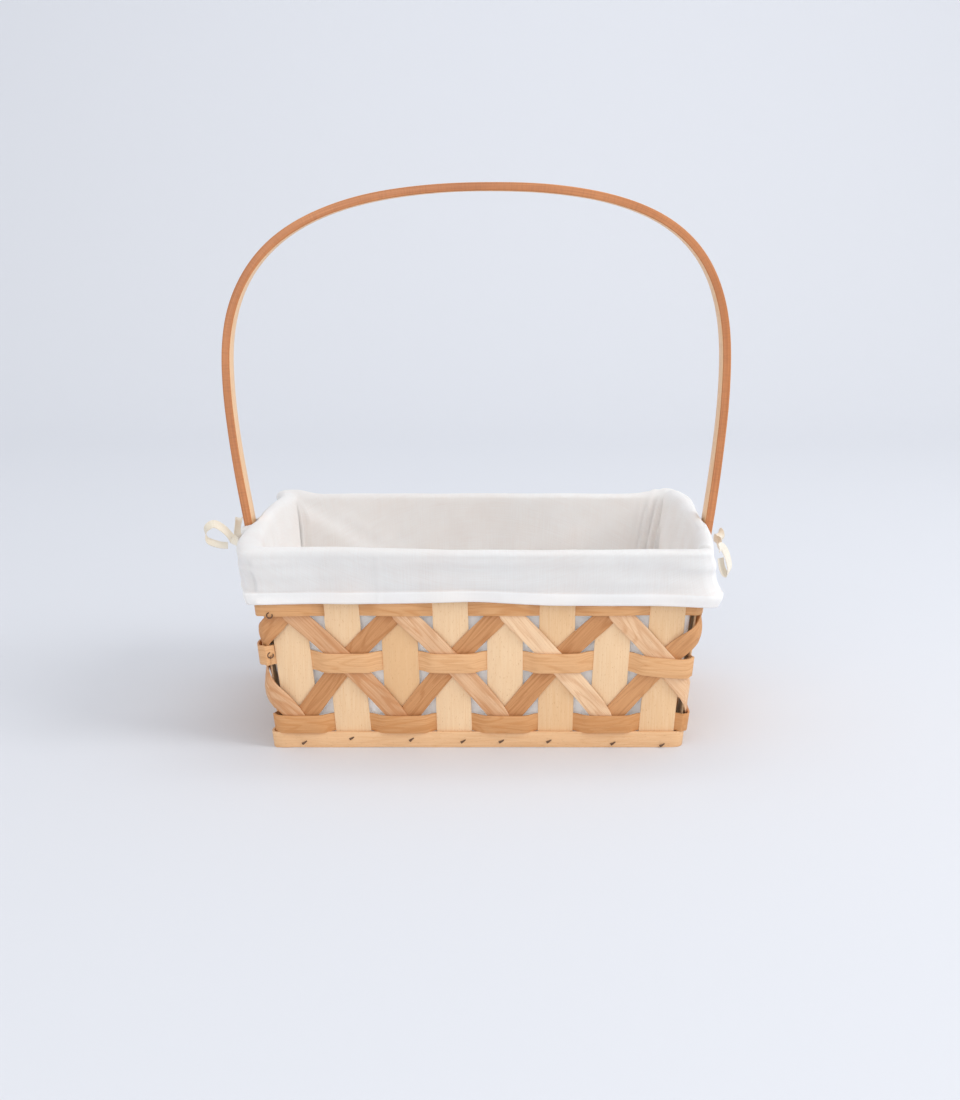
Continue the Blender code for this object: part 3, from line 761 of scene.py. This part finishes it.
# ---------------------------------------------------------------- the handle
# One strip of steamed beech, bent to a tall hoop and clear coated. Its ends stand against
# the rim. Bending has left fine lines across the narrow edge. The edge is painted darker than the
# faces, partly its own grain and partly painted shade, and the faces are painted pale with painted
# light.
HANDLE_WIDTH = 0.020
HANDLE_THICKNESS = 0.0061
HANDLE_EASE = 0.0011
HANDLE_PEAK = (0.0070, 0.3804)
LEFT_BULGE = (-0.1837, 0.2520)
RIGHT_BULGE = (0.1784, 0.2520)
LEFT_FOOT = (-0.1665, 0.1120)
RIGHT_FOOT = (0.1650, 0.1120)
FOOT_SLOPE = 0.145
FOOT_ARM = 0.040
BULGE_ARM_DOWN = 0.045
BULGE_ARM_UP = 0.0905
LEFT_PEAK_ARM = 0.1245
RIGHT_PEAK_ARM = 0.1275
# The face colours hold painted light; the edge colours are darker, partly the edge's own grain and
# partly painted shade.
HANDLE_FACE_LIT = ("#F3CDA0", "#D8A26C", "#9C6636")
HANDLE_EDGE_AND_SHADE = ("#CB844F", "#B26C3A", "#8A5028")


def bezier(a, b, c, d, steps):
    """Points along one Bezier curve, without its last."""
    a, b, c, d = Vector(a), Vector(b), Vector(c), Vector(d)
    line = []
    for step in range(steps):
        t = step / steps
        s = 1 - t
        line.append(a * s**3 + b * 3 * s * s * t + c * 3 * s * t * t + d * t**3)
    return line


def bent_beech_edge_and_shade(name, pale, dark, fleck):
    """The strip's narrow edge: brown, partly its own grain and partly painted shade, with lines
    across it about a millimetre apart.
    """
    material, tree, surface = new_material(name)
    place = add_node(tree, "UVMap", {"uv_map": "grain"})
    layers = []
    for along_mm, across_mm in ((1.3, 9.0), (60.0, 0.9), (1000 / 9, 1000 / 9)):
        scaled = add_node(
            tree,
            "Mapping",
            values={"Scale": (1000 / along_mm, 1000 / across_mm, 1.0)},
            links={"Vector": place.outputs[0]},
        )
        layers.append(
            add_node(
                tree,
                "TexNoise",
                {"noise_dimensions": "2D"},
                {"Scale": 1.0, "Detail": 2.0},
                {"Vector": scaled.outputs[0]},
            ).outputs["Fac"]
        )
    lines = add_node(
        tree, "MapRange", values={"From Min": 0.45, "From Max": 0.75}, links={"Value": layers[0]}
    )
    grain = add_node(tree, "Math", {"operation": "ADD"}, links={0: layers[1], 1: layers[2]})
    tone = add_node(
        tree,
        "MapRange",
        values={"From Min": 0.7, "From Max": 1.3},
        links={"Value": grain.outputs[0]},
    )
    base = add_node(
        tree,
        "Mix",
        {"data_type": "RGBA"},
        {6: linear(pale), 7: linear(dark)},
        {0: tone.outputs[0]},
    )
    weaker = add_node(
        tree, "Math", {"operation": "MULTIPLY"}, {1: 0.22}, {0: lines.outputs[0]}
    )
    colour = add_node(
        tree,
        "Mix",
        {"data_type": "RGBA"},
        {7: linear(fleck)},
        {0: weaker.outputs[0], 6: base.outputs[2]},
    )
    bump = add_node(
        tree,
        "Bump",
        values={"Strength": 0.15, "Distance": 0.0002},
        links={"Height": lines.outputs[0]},
    )
    shader = add_node(
        tree,
        "BsdfPrincipled",
        values={"Roughness": 0.42, "IOR": 1.5, "Coat Weight": 0.25, "Coat Roughness": 0.25},
        links={"Base Color": colour.outputs[2], "Normal": bump.outputs[0]},
    )
    tree.links.new(shader.outputs[0], surface)
    return material


outline = bezier(
    LEFT_FOOT,
    (LEFT_FOOT[0] - FOOT_ARM * FOOT_SLOPE, LEFT_FOOT[1] + FOOT_ARM),
    (LEFT_BULGE[0], LEFT_BULGE[1] - BULGE_ARM_DOWN),
    LEFT_BULGE,
    24,
)
outline += bezier(
    LEFT_BULGE,
    (LEFT_BULGE[0], LEFT_BULGE[1] + BULGE_ARM_UP),
    (HANDLE_PEAK[0] - LEFT_PEAK_ARM, HANDLE_PEAK[1]),
    HANDLE_PEAK,
    48,
)
outline += bezier(
    HANDLE_PEAK,
    (HANDLE_PEAK[0] + RIGHT_PEAK_ARM, HANDLE_PEAK[1]),
    (RIGHT_BULGE[0], RIGHT_BULGE[1] + BULGE_ARM_UP),
    RIGHT_BULGE,
    48,
)
outline += bezier(
    RIGHT_BULGE,
    (RIGHT_BULGE[0], RIGHT_BULGE[1] - BULGE_ARM_DOWN),
    (RIGHT_FOOT[0] + FOOT_ARM * FOOT_SLOPE, RIGHT_FOOT[1] + FOOT_ARM),
    RIGHT_FOOT,
    24,
)
outline.append(Vector(RIGHT_FOOT))

ring = []
for corner, (across, inward) in enumerate(((1, 0), (1, 1), (-1, 1), (-1, 0))):
    centre_y = across * (HANDLE_WIDTH / 2 - HANDLE_EASE)
    centre_d = HANDLE_EASE + inward * (HANDLE_THICKNESS - 2 * HANDLE_EASE)
    for step in range(4):
        angle = math.radians(-90 + 90 * corner + 30 * step)
        ring.append(
            (centre_y + HANDLE_EASE * math.cos(angle), centre_d + HANDLE_EASE * math.sin(angle))
        )
points, uv = [], []
run = 0.0
for index, point in enumerate(outline):
    before, after = outline[max(index - 1, 0)], outline[min(index + 1, len(outline) - 1)]
    tangent = (after - before).normalized()
    inward = Vector((tangent.y, -tangent.x))
    if index:
        run += (point - outline[index - 1]).length
    for y, depth in ring:
        uneven = 0.0002 * noise.noise(Vector((run * 25, y * 60, depth * 200)))
        place = point + inward * (depth + uneven)
        points.append((place.x, y, place.y))
        uv.append((run, y + depth))
# The face material carries painted light, and the edge material painted shade on top of the edge's
# own darker grain.
handle_face_lit = sliced_wood("bent_beech_face_lit", *HANDLE_FACE_LIT, 0.8, 6.0, 0.3, 0.3, 0.42)
handle_edge_and_shade = bent_beech_edge_and_shade("bent_beech_edge_and_shade", *HANDLE_EDGE_AND_SHADE)
handle = mesh_object("bent_handle", points, tube_faces(len(ring), len(outline)), handle_face_lit)
handle.data.materials.append(handle_edge_and_shade)
turn_faces_out(handle)
lay_map(handle, "grain", uv)
# Faces across the strip's width get the edge colour with its painted shade, the broad faces the
# colour with painted light.
for face in handle.data.polygons:
    face.material_index = 1 if abs(face.normal.y) > 0.6 else 0
bpy.ops.object.shade_smooth_by_angle(angle=math.radians(40))
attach(handle, "root")
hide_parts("handle")

# ---------------------------------------------------------------- nails
# Small steel wire nails. Two hold each leg of the handle to the rim. Short ones hold the base
# band, and their points are turned over on the wood. Two longer ones hold the hoops' laps.
NAIL_STEEL = "#7A5E48"
NAIL_RUST = "#52341F"
BASE_BAND_HEIGHT = 0.0062
POINT_LENGTH = 0.0038
POINT_RADIUS = 0.00075
POINT_TILT = math.radians(32)
POINT_BEND = 0.0016
CURL_RADIUS = 0.0019
CURL_WIRE = 0.0004
CURLED_POINTS = (
    ("top", (-0.1397, -0.1115, 0.0966), (-0.10, -1.0, 0.0)),
    ("middle", (-0.1417, -0.1090, 0.0672), (-0.35, -1.0, 0.0)),
)
FRONT_NAILS = (
    (-0.1200, 0.0038),
    (-0.0875, 0.0070),
    (-0.0467, 0.0060),
    (-0.0115, 0.0047),
    (0.0147, 0.0047),
    (0.0472, 0.0047),
    (0.0910, 0.0032),
    (0.1247, 0.0020),
)

oxidised_steel, tree, surface = new_material("oxidised_wire_nail")
spots = add_node(
    tree,
    "TexNoise",
    values={"Scale": 900.0, "Detail": 2.0},
    links={"Vector": add_node(tree, "TexCoord").outputs["Object"]},
)
colour = add_node(
    tree,
    "Mix",
    {"data_type": "RGBA"},
    {6: linear(NAIL_RUST), 7: linear(NAIL_STEEL)},
    {0: spots.outputs["Fac"]},
)
rough = add_node(
    tree, "MapRange", values={"To Min": 0.35, "To Max": 0.7}, links={"Value": spots.outputs["Fac"]}
)
shader = add_node(
    tree,
    "BsdfPrincipled",
    values={"Metallic": 0.2},
    links={"Base Color": colour.outputs[2], "Roughness": rough.outputs[0]},
)
tree.links.new(shader.outputs[0], surface)
for word in ("left", "right"):
    for number in (1, 2):
        nail = frame["nodes"][f"{word}_handle_nail_{number}"]
        nail.data.materials.clear()
        nail.data.materials.append(oxidised_steel)


def turned_over_point(name, middle, along, outwards):
    """A nail's point, bent over and hammered flat into the wood."""
    bpy.ops.object.select_all(action="DESELECT")
    bpy.ops.mesh.primitive_cone_add(
        vertices=10, radius1=POINT_RADIUS, radius2=POINT_RADIUS * 0.35, depth=POINT_LENGTH
    )
    piece = bpy.context.object
    piece.name = name
    bpy.ops.object.mode_set(mode="EDIT")
    for share in (-0.3, 0.0, 0.3):
        bpy.ops.mesh.select_all(action="SELECT")
        bpy.ops.mesh.bisect(plane_co=(0, 0, POINT_LENGTH * share), plane_no=(0, 0, 1))
    bpy.ops.object.mode_set(mode="OBJECT")
    across = along.cross(outwards)
    for vertex in piece.data.vertices:
        x, y, z = vertex.co
        share = z / POINT_LENGTH
        lift = POINT_RADIUS * 0.25 - POINT_BEND * share * share
        vertex.co = middle + along * z + across * (x * 1.25) + outwards * (y * 0.7 + lift)
    turn_faces_out(piece)
    piece.data.materials.append(oxidised_steel)
    bpy.ops.object.shade_smooth_by_angle(angle=math.radians(60))
    return piece


def curled_point(name, lap_piece, place, outwards):
    """A longer point that was left standing and bent round into a small open ring."""
    outwards = Vector(outwards).normalized()
    _, location, normal, _ = lap_piece.ray_cast(Vector(place) + outwards * 0.02, -outwards)
    bpy.ops.object.select_all(action="DESELECT")
    bpy.ops.mesh.primitive_torus_add(
        major_segments=28,
        minor_segments=8,
        major_radius=CURL_RADIUS,
        minor_radius=CURL_WIRE,
        location=location + normal * CURL_WIRE * 0.9,
        rotation=normal.to_track_quat("Z", "Y").to_euler(),
    )
    piece = bpy.context.object
    piece.name = name
    bpy.ops.object.mode_set(mode="EDIT")
    bpy.ops.mesh.select_mode(type="VERT")
    bpy.ops.mesh.select_all(action="DESELECT")
    bpy.ops.object.mode_set(mode="OBJECT")
    for vertex in piece.data.vertices:
        turn = math.atan2(vertex.co.y, vertex.co.x)
        vertex.select = 0.6 < turn < 1.6
        vertex.co.xy *= 1 - 0.10 * math.sin(turn + 0.4)
    bpy.ops.object.transform_apply(location=True, rotation=True, scale=True)
    bpy.ops.object.mode_set(mode="EDIT")
    bpy.ops.mesh.delete(type="VERT")
    bpy.ops.mesh.select_all(action="SELECT")
    bpy.ops.mesh.fill_holes(sides=0)
    bpy.ops.mesh.normals_make_consistent(inside=False)
    bpy.ops.object.mode_set(mode="OBJECT")
    piece.data.materials.append(oxidised_steel)
    bpy.ops.object.shade_smooth_by_angle(angle=math.radians(60))
    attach(piece, "root")


for word, place, outwards in CURLED_POINTS:
    lap_piece = bpy.data.objects[f"{word}_hoop_lap"]
    curled_point(f"{word}_lap_nail", lap_piece, place, outwards)

low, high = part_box("base_band")
SIDES = (
    ("front", 8, Vector((1, 0, 0)), Vector((0, -1, 0)), -low.y, high.x),
    ("right", 6, Vector((0, 1, 0)), Vector((1, 0, 0)), high.x, high.y),
    ("back", 8, Vector((-1, 0, 0)), Vector((0, 1, 0)), high.y, high.x),
    ("left", 6, Vector((0, -1, 0)), Vector((-1, 0, 0)), -low.x, high.y),
)
for word, count, direction, outwards, distance, half in SIDES:
    nails = []
    for number in range(count):
        share = (number + 0.5) / count * 2 - 1
        wander = 0.004 * noise.noise(Vector((number * 2.3, len(word), 0.5)))
        middle = direction * (share * (half - 0.010) + wander) + outwards * (distance - 0.0004)
        middle.z = BASE_BAND_HEIGHT + 0.5 * wander
        if word == "front":
            middle.x, middle.z = FRONT_NAILS[number]
        tilt = POINT_TILT + 40 * wander
        along = direction * math.cos(tilt) + Vector((0, 0, 1)) * math.sin(tilt)
        nails.append(turned_over_point(f"{word}_nail_{number}", middle, along, outwards))
    bpy.ops.object.select_all(action="DESELECT")
    for nail in nails:
        nail.select_set(True)
    bpy.context.view_layer.objects.active = nails[0]
    bpy.ops.object.join()
    group = bpy.context.object
    group.name = f"{word}_foot_nails"
    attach(group, "root")

# ---------------------------------------------------------------- the liner
# A bag of thin unbleached muslin. It stands against the walls, folds over the rim and hangs
# outside as a cuff with a stitched hem, slit at each handle leg so that the leg comes through.
# It is one grid of points: columns round the basket, rows from the floor over the rim to the hem.
MUSLIN_WHITE = "#FEFBF7"
MUSLIN_SHADE = "#F6EBE4"
HEM_WHITE = "#FFFEFC"
HEM_SHADE = "#FAF7F2"
MUSLIN_THREAD_MM = 0.9
CORNER_RADIUS = 0.0025
TIGHTEST_CORNER = 0.004
WIDEST_CORNER = 0.009
INSIDE_OFFSET = -0.0016
FLOOR_HEIGHT = 0.0049
FLOOR_CLEARANCE = 0.0004
FLOOR_REACHES = (0.30, 0.55, 0.78, 0.92)
FLOOR_INSET = -0.0060
FLOOR_UNEVEN = 0.0012
FOOT_INSET = -0.0052
WALL_START = 0.0070
WALL_FOOT = 0.0090
FOLD_MIDDLE = (0.1375, 0.0032)
FOLD_RADIUS = 0.0048
FOLD_UNEVEN = 0.0004
CUFF_OFFSET = 0.0080
HEM_HEIGHT = 0.1030
HEM_DEPTH = 0.0085
HEM_THICKENING = 0.0005
HEM_GROOVE = 0.0003
HEM_GROOVE_WIDTH = 0.0012
HEM_EDGE = 0.0006
HEM_UNEVEN = 0.0007
HEM_RISE_ENDS = 0.0012
HEM_RISE_LEFT = 0.0016
HEM_RISE_MIDDLE = 0.0012
CLOTH_THICKNESS = 0.0007
SLIT_HALF = 0.0115
SLIT_FOOT = {1: 0.1225, 3: 0.1362}
SLIT_EASE = 0.0030
LEG_COVER = 0.0130
COVER_SLOPE = 0.0110
LEG_CLEARANCE = 0.0022
LEG_TUCK = 0.0016
FRONT_SEAM = -0.067
SEAM_RIDGE = 0.0008
SEAM_WIDTH = 0.0014
CORNER_SEAM_RIDGE = 0.0007
DRAPE_TOP = -0.137
DRAPE_SLOPE = 1.65
DRAPE_LEAN = 0.22
DRAPE_DEEPEST = 0.0062
DRAPE_ROLL = 0.0012
DRAPE_ROLL_WIDTH = 0.014
DRAPE_CORNER = -0.149
DRAPE_RETURN = 0.005
SLACK = 0.0030
SLACK_WRINKLE = 0.0012
TIGHTER_FOLD = 0.0019
PLEAT_DEPTH = 0.0020
PLEAT_LIFT = 0.0012
PLEATS_PER_METRE = 780
WRINKLE = 0.0011
FINE_WRINKLE = 0.0008
HEM_WAVE = 0.0010
# Loose cloth puffs out at the corners. A place is its middle in x and y, reach and squeeze in y.
FRONT_LEFT_PLACE = (-0.149, -0.080, 0.046, 0.5)
FRONT_RIGHT_PLACE = (0.152, -0.106, 0.040, 1.0)
BACK_RIGHT_PLACE = (0.152, 0.082, 0.050, 0.8)
BACK_LEFT_PLACE = (-0.147, 0.108, 0.018, 1.0)
FRONT_LEFT_PUFF = 0.0062
FRONT_RIGHT_PUFF = 0.0028
BACK_RIGHT_PUFF = 0.0058
BACK_LEFT_PUFF = 0.0080
FRONT_RIGHT_FLARE = 0.0036
BACK_RIGHT_LIFT = 0.0026
BACK_LEFT_LIFT = 0.0010
CORNER_FLARE = 0.0012
CORNER_START = 0.86
LONG_COLUMNS = 160
END_COLUMNS = 84
CORNER_COLUMNS = 10
INSIDE_ROWS = 34
FOLD_ROWS = 8
CUFF_ROWS = 30


def bump_at(value, middle, width):
    """A smooth bump, 1 at its middle and 0 beyond its width."""
    return eased(1 - abs(value - middle) / width)


def plan_point(column, z, offset):
    """A point of the cloth over one of its columns, at a height and an offset from the wall."""
    side, share, turn = column
    half_x = HALF_LENGTH + FLARE * z
    half_y = HALF_DEPTH + FLARE * z
    half, distance = (half_x, half_y) if side % 2 == 0 else (half_y, half_x)
    radius = min(WIDEST_CORNER, max(TIGHTEST_CORNER, CORNER_RADIUS + offset))
    bow = BOWS[side % 2] * z / RIM_TOP * (1 - share * share)
    along = share * (half + offset - radius)
    out = distance + offset
    if turn:
        along = half + offset - radius + radius * math.sin(turn)
        out = distance + offset - radius + radius * math.cos(turn)
    direction, outwards = SIDES[side][2], SIDES[side][3]
    return direction * along + outwards * (out + bow) + Vector((0, 0, z))


def puff_share(rim, x, y, reach, squeeze):
    """How strongly a corner's puff works on a column, from 0 to 1."""
    return eased(1 - math.hypot(rim.x - x, (rim.y - y) * squeeze) / reach)


def leg_reach(side, z):
    """How far out from the wall the cuff passes round a handle leg."""
    foot = LEFT_FOOT if side == 3 else RIGHT_FOOT
    face = abs(foot[0]) + FOOT_SLOPE * (max(z, foot[1]) - foot[1])
    return face + LEG_CLEARANCE - (HALF_LENGTH + FLARE * z + BOWS[1] * z / RIM_TOP)


columns = []
for side in range(4):
    count = LONG_COLUMNS if side % 2 == 0 else END_COLUMNS
    for step in range(count + 1):
        share = step / count * 2 - 1
        if side % 2:
            share = 0.45 * share + 0.55 * share**3
        columns.append((side, share, 0.0))
    for step in range(1, CORNER_COLUMNS):
        columns.append((side, 1.0, math.pi / 2 * step / CORNER_COLUMNS))

points, uv, rows_of = [], [], []
run = 0.0
last = None
for column in columns:
    side, share, turn = column
    rim = plan_point(column, RIM_TOP, 0.0)
    if last is not None:
        run += (rim - last).length
    last = rim
    near_leg = 0.0
    if side % 2:
        near_leg = eased((LEG_COVER + COVER_SLOPE - abs(rim.y)) / COVER_SLOPE)
    corner = 1.0 if turn else eased((abs(share) - CORNER_START) / (1 - CORNER_START))
    is_back = side == 2 or (side % 2 and rim.y > 0) or (side == 1 and turn)
    back = corner if is_back else 0.0
    pleated = back if rim.x > 0 else 0.0
    front_left = puff_share(rim, *FRONT_LEFT_PLACE)
    front_right = puff_share(rim, *FRONT_RIGHT_PLACE)
    back_right = puff_share(rim, *BACK_RIGHT_PLACE)
    back_left = puff_share(rim, *BACK_LEFT_PLACE)
    pleat = math.sin(run * PLEATS_PER_METRE + 8.0)

    # The bag's floor, from near its middle out to the foot of the wall.
    profile = []
    for reach in FLOOR_REACHES:
        flat = plan_point(column, FLOOR_HEIGHT, FLOOR_INSET)
        flat = Vector((flat.x * reach, flat.y * reach, 0.0))
        height = FLOOR_HEIGHT + FLOOR_CLEARANCE + FLOOR_UNEVEN * noise.noise(flat * 22) ** 2
        profile.append(Vector((flat.x, flat.y, height)))
    profile.append(plan_point(column, FLOOR_HEIGHT + FLOOR_CLEARANCE, FOOT_INSET))

    # The inside wall: slack that bulges inwards, and at the back a panel that leans and pleats.
    for step in range(INSIDE_ROWS):
        z = WALL_START + (FOLD_MIDDLE[0] - WALL_START) * step / (INSIDE_ROWS - 1)
        rise = (z - WALL_FOOT) / (FOLD_MIDDLE[0] - WALL_FOOT)
        slack = eased(rise / 0.12) * eased((1.06 - rise) / 0.3)
        drift = Vector((run * 20, z * 26, side * 3.1))
        fold = SLACK * max(0.0, noise.noise(drift) + 0.1)
        streak = Vector((run * 60 + z * 35, z * 9, 7.0))
        fold += SLACK_WRINKLE * max(0.0, noise.noise(streak))
        hang = 0.0
        if side == 2:
            crease = DRAPE_TOP + (RIM_TOP - z) * DRAPE_SLOPE
            below = max(0.0, crease - rim.x)
            hang = min(DRAPE_DEEPEST, DRAPE_LEAN * below * below / (below + 0.006))
            hang += DRAPE_ROLL * bump_at(rim.x, crease, DRAPE_ROLL_WIDTH)
            hang *= eased((rim.x - DRAPE_CORNER) / DRAPE_RETURN) * eased((1.04 - rise) / 0.12)
        gather = pleated * PLEAT_DEPTH * (1 + math.sin(run * PLEATS_PER_METRE + z * 60))
        offset = INSIDE_OFFSET - slack * fold - hang * eased(rise / 0.3)
        offset -= gather * eased((1.1 - rise) / 0.3)
        profile.append(plan_point(column, z, offset))

    # The fold over the rim, tighter along the two long sides.
    tighter = 0.0
    if side == 0:
        tighter = TIGHTER_FOLD * eased((rim.x + 0.10) / 0.10)
    elif side == 2:
        tighter = TIGHTER_FOLD * (1 - back)
    for step in range(1, FOLD_ROWS):
        angle = math.pi * step / FOLD_ROWS
        lift = FOLD_UNEVEN * noise.noise(Vector((run * 30, 2.0, 0.0))) - tighter
        lift += pleated * PLEAT_LIFT * (0.6 + 0.4 * pleat)
        lift += BACK_LEFT_LIFT * back_left + BACK_RIGHT_LIFT * back_right
        z = FOLD_MIDDLE[0] + (FOLD_RADIUS + lift) * math.sin(angle)
        offset = FOLD_MIDDLE[1] - FOLD_RADIUS * math.cos(angle)
        offset -= near_leg * LEG_TUCK * max(0.0, -math.cos(angle))
        puffed = BACK_LEFT_PUFF * back_left + BACK_RIGHT_PUFF * back_right
        puffed += FRONT_LEFT_PUFF * front_left
        offset += puffed * math.sin(angle / 2) ** 2
        profile.append(plan_point(column, z, offset))

    # The cuff: wrinkled, flared towards its corners, thicker at the hem, and split at the legs.
    hem = HEM_HEIGHT + HEM_UNEVEN * noise.noise(Vector((run * 13, 0.0, 4.0)))
    if side == 0:
        hem += HEM_RISE_LEFT * eased((0.09 - rim.x) / 0.10)
        hem += HEM_RISE_MIDDLE * bump_at(rim.x, 0.0, 0.045)
    else:
        hem += HEM_RISE_ENDS
    for step in range(CUFF_ROWS + 1):
        fall = step / CUFF_ROWS
        z = FOLD_MIDDLE[0] + (hem - FOLD_MIDDLE[0]) * fall
        wrinkle = WRINKLE * noise.noise(Vector((run * 16, z * 130, 1.0)))
        wrinkle += FINE_WRINKLE * noise.noise(Vector((run * 45, z * 60, 5.0)))
        wrinkle *= 0.7 + 0.9 * max(corner, front_left)
        wave = HEM_WAVE * eased(fall) * noise.noise(Vector((run * 38, 3.0, 0.0)))
        band = HEM_THICKENING * eased((hem + HEM_DEPTH - z) / HEM_EDGE)
        groove = -HEM_GROOVE * bump_at(z, hem + HEM_DEPTH, HEM_GROOVE_WIDTH)
        seam = SEAM_RIDGE * bump_at(rim.x, FRONT_SEAM, SEAM_WIDTH) if side == 0 else 0.0
        seam += CORNER_SEAM_RIDGE * bump_at(turn, math.pi / 4, 0.30) if turn else 0.0
        flare = corner * CORNER_FLARE * eased((fall - 0.45) / 0.5)
        flare += FRONT_LEFT_PUFF * front_left * (1 - 0.25 * fall)
        flare += FRONT_RIGHT_PUFF * front_right * eased(fall / 0.3)
        flare += FRONT_RIGHT_FLARE * front_right * eased((fall - 0.3) / 0.5)
        flare += BACK_RIGHT_PUFF * back_right * eased((1.2 - fall) / 1.2)
        flare += BACK_LEFT_PUFF * back_left * (1 - fall)
        offset = CUFF_OFFSET + wrinkle * eased(fall * 5) + wave + band + groove + seam + flare
        if side % 2:
            under_slit = eased((SLIT_FOOT[side] + SLIT_EASE - z) / SLIT_EASE)
            offset += (leg_reach(side, z) - offset) * near_leg * under_slit
        profile.append(plan_point(column, z, offset))

    distance = 0.0
    rows_of.append(len(points))
    for index, point in enumerate(profile):
        if index:
            distance += (point - profile[index - 1]).length
        points.append(point)
        uv.append((run, distance))
size = len(profile)
slit_row = size - CUFF_ROWS - 3
faces = []
for index, start in enumerate(rows_of):
    after = rows_of[(index + 1) % len(rows_of)]
    for row in range(size - 1):
        here, there = points[start + row], points[after + row]
        covered = max(abs(here.y), abs(there.y)) < SLIT_HALF and abs(here.x) > HALF_LENGTH
        if covered and row >= slit_row and min(here.z, there.z) > SLIT_FOOT[1 if here.x > 0 else 3]:
            continue
        faces.append((start + row, after + row, after + row + 1, start + row + 1))
faces.append(tuple(reversed(rows_of)))
first_hem_row = size - 1 - round(CUFF_ROWS * HEM_DEPTH / (FOLD_MIDDLE[0] - HEM_HEIGHT))
muslin = woven_cotton(
    "unbleached_muslin", MUSLIN_WHITE, MUSLIN_SHADE, MUSLIN_THREAD_MM, 0.3, 0.35, 0.75
)
doubled_hem = woven_cotton(
    "unbleached_muslin_doubled", HEM_WHITE, HEM_SHADE, MUSLIN_THREAD_MM, 0.3, 0.35, 0.5
)
liner = mesh_object("muslin_liner", points, faces, muslin)
liner.data.materials.append(doubled_hem)
hem_points = set()
for start in rows_of:
    hem_points.update(range(start + first_hem_row, start + size))
for face in liner.data.polygons:
    if all(vertex in hem_points for vertex in face.vertices):
        face.material_index = 1
lay_map(liner, "cloth", uv)
turn_faces_out(liner)
thickness = liner.modifiers.new("thickness", "SOLIDIFY")
thickness.thickness = CLOTH_THICKNESS
thickness.offset = 0.0
bpy.ops.object.modifier_apply(modifier="thickness")
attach(liner, "root")
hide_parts("liner", "liner_cuff")
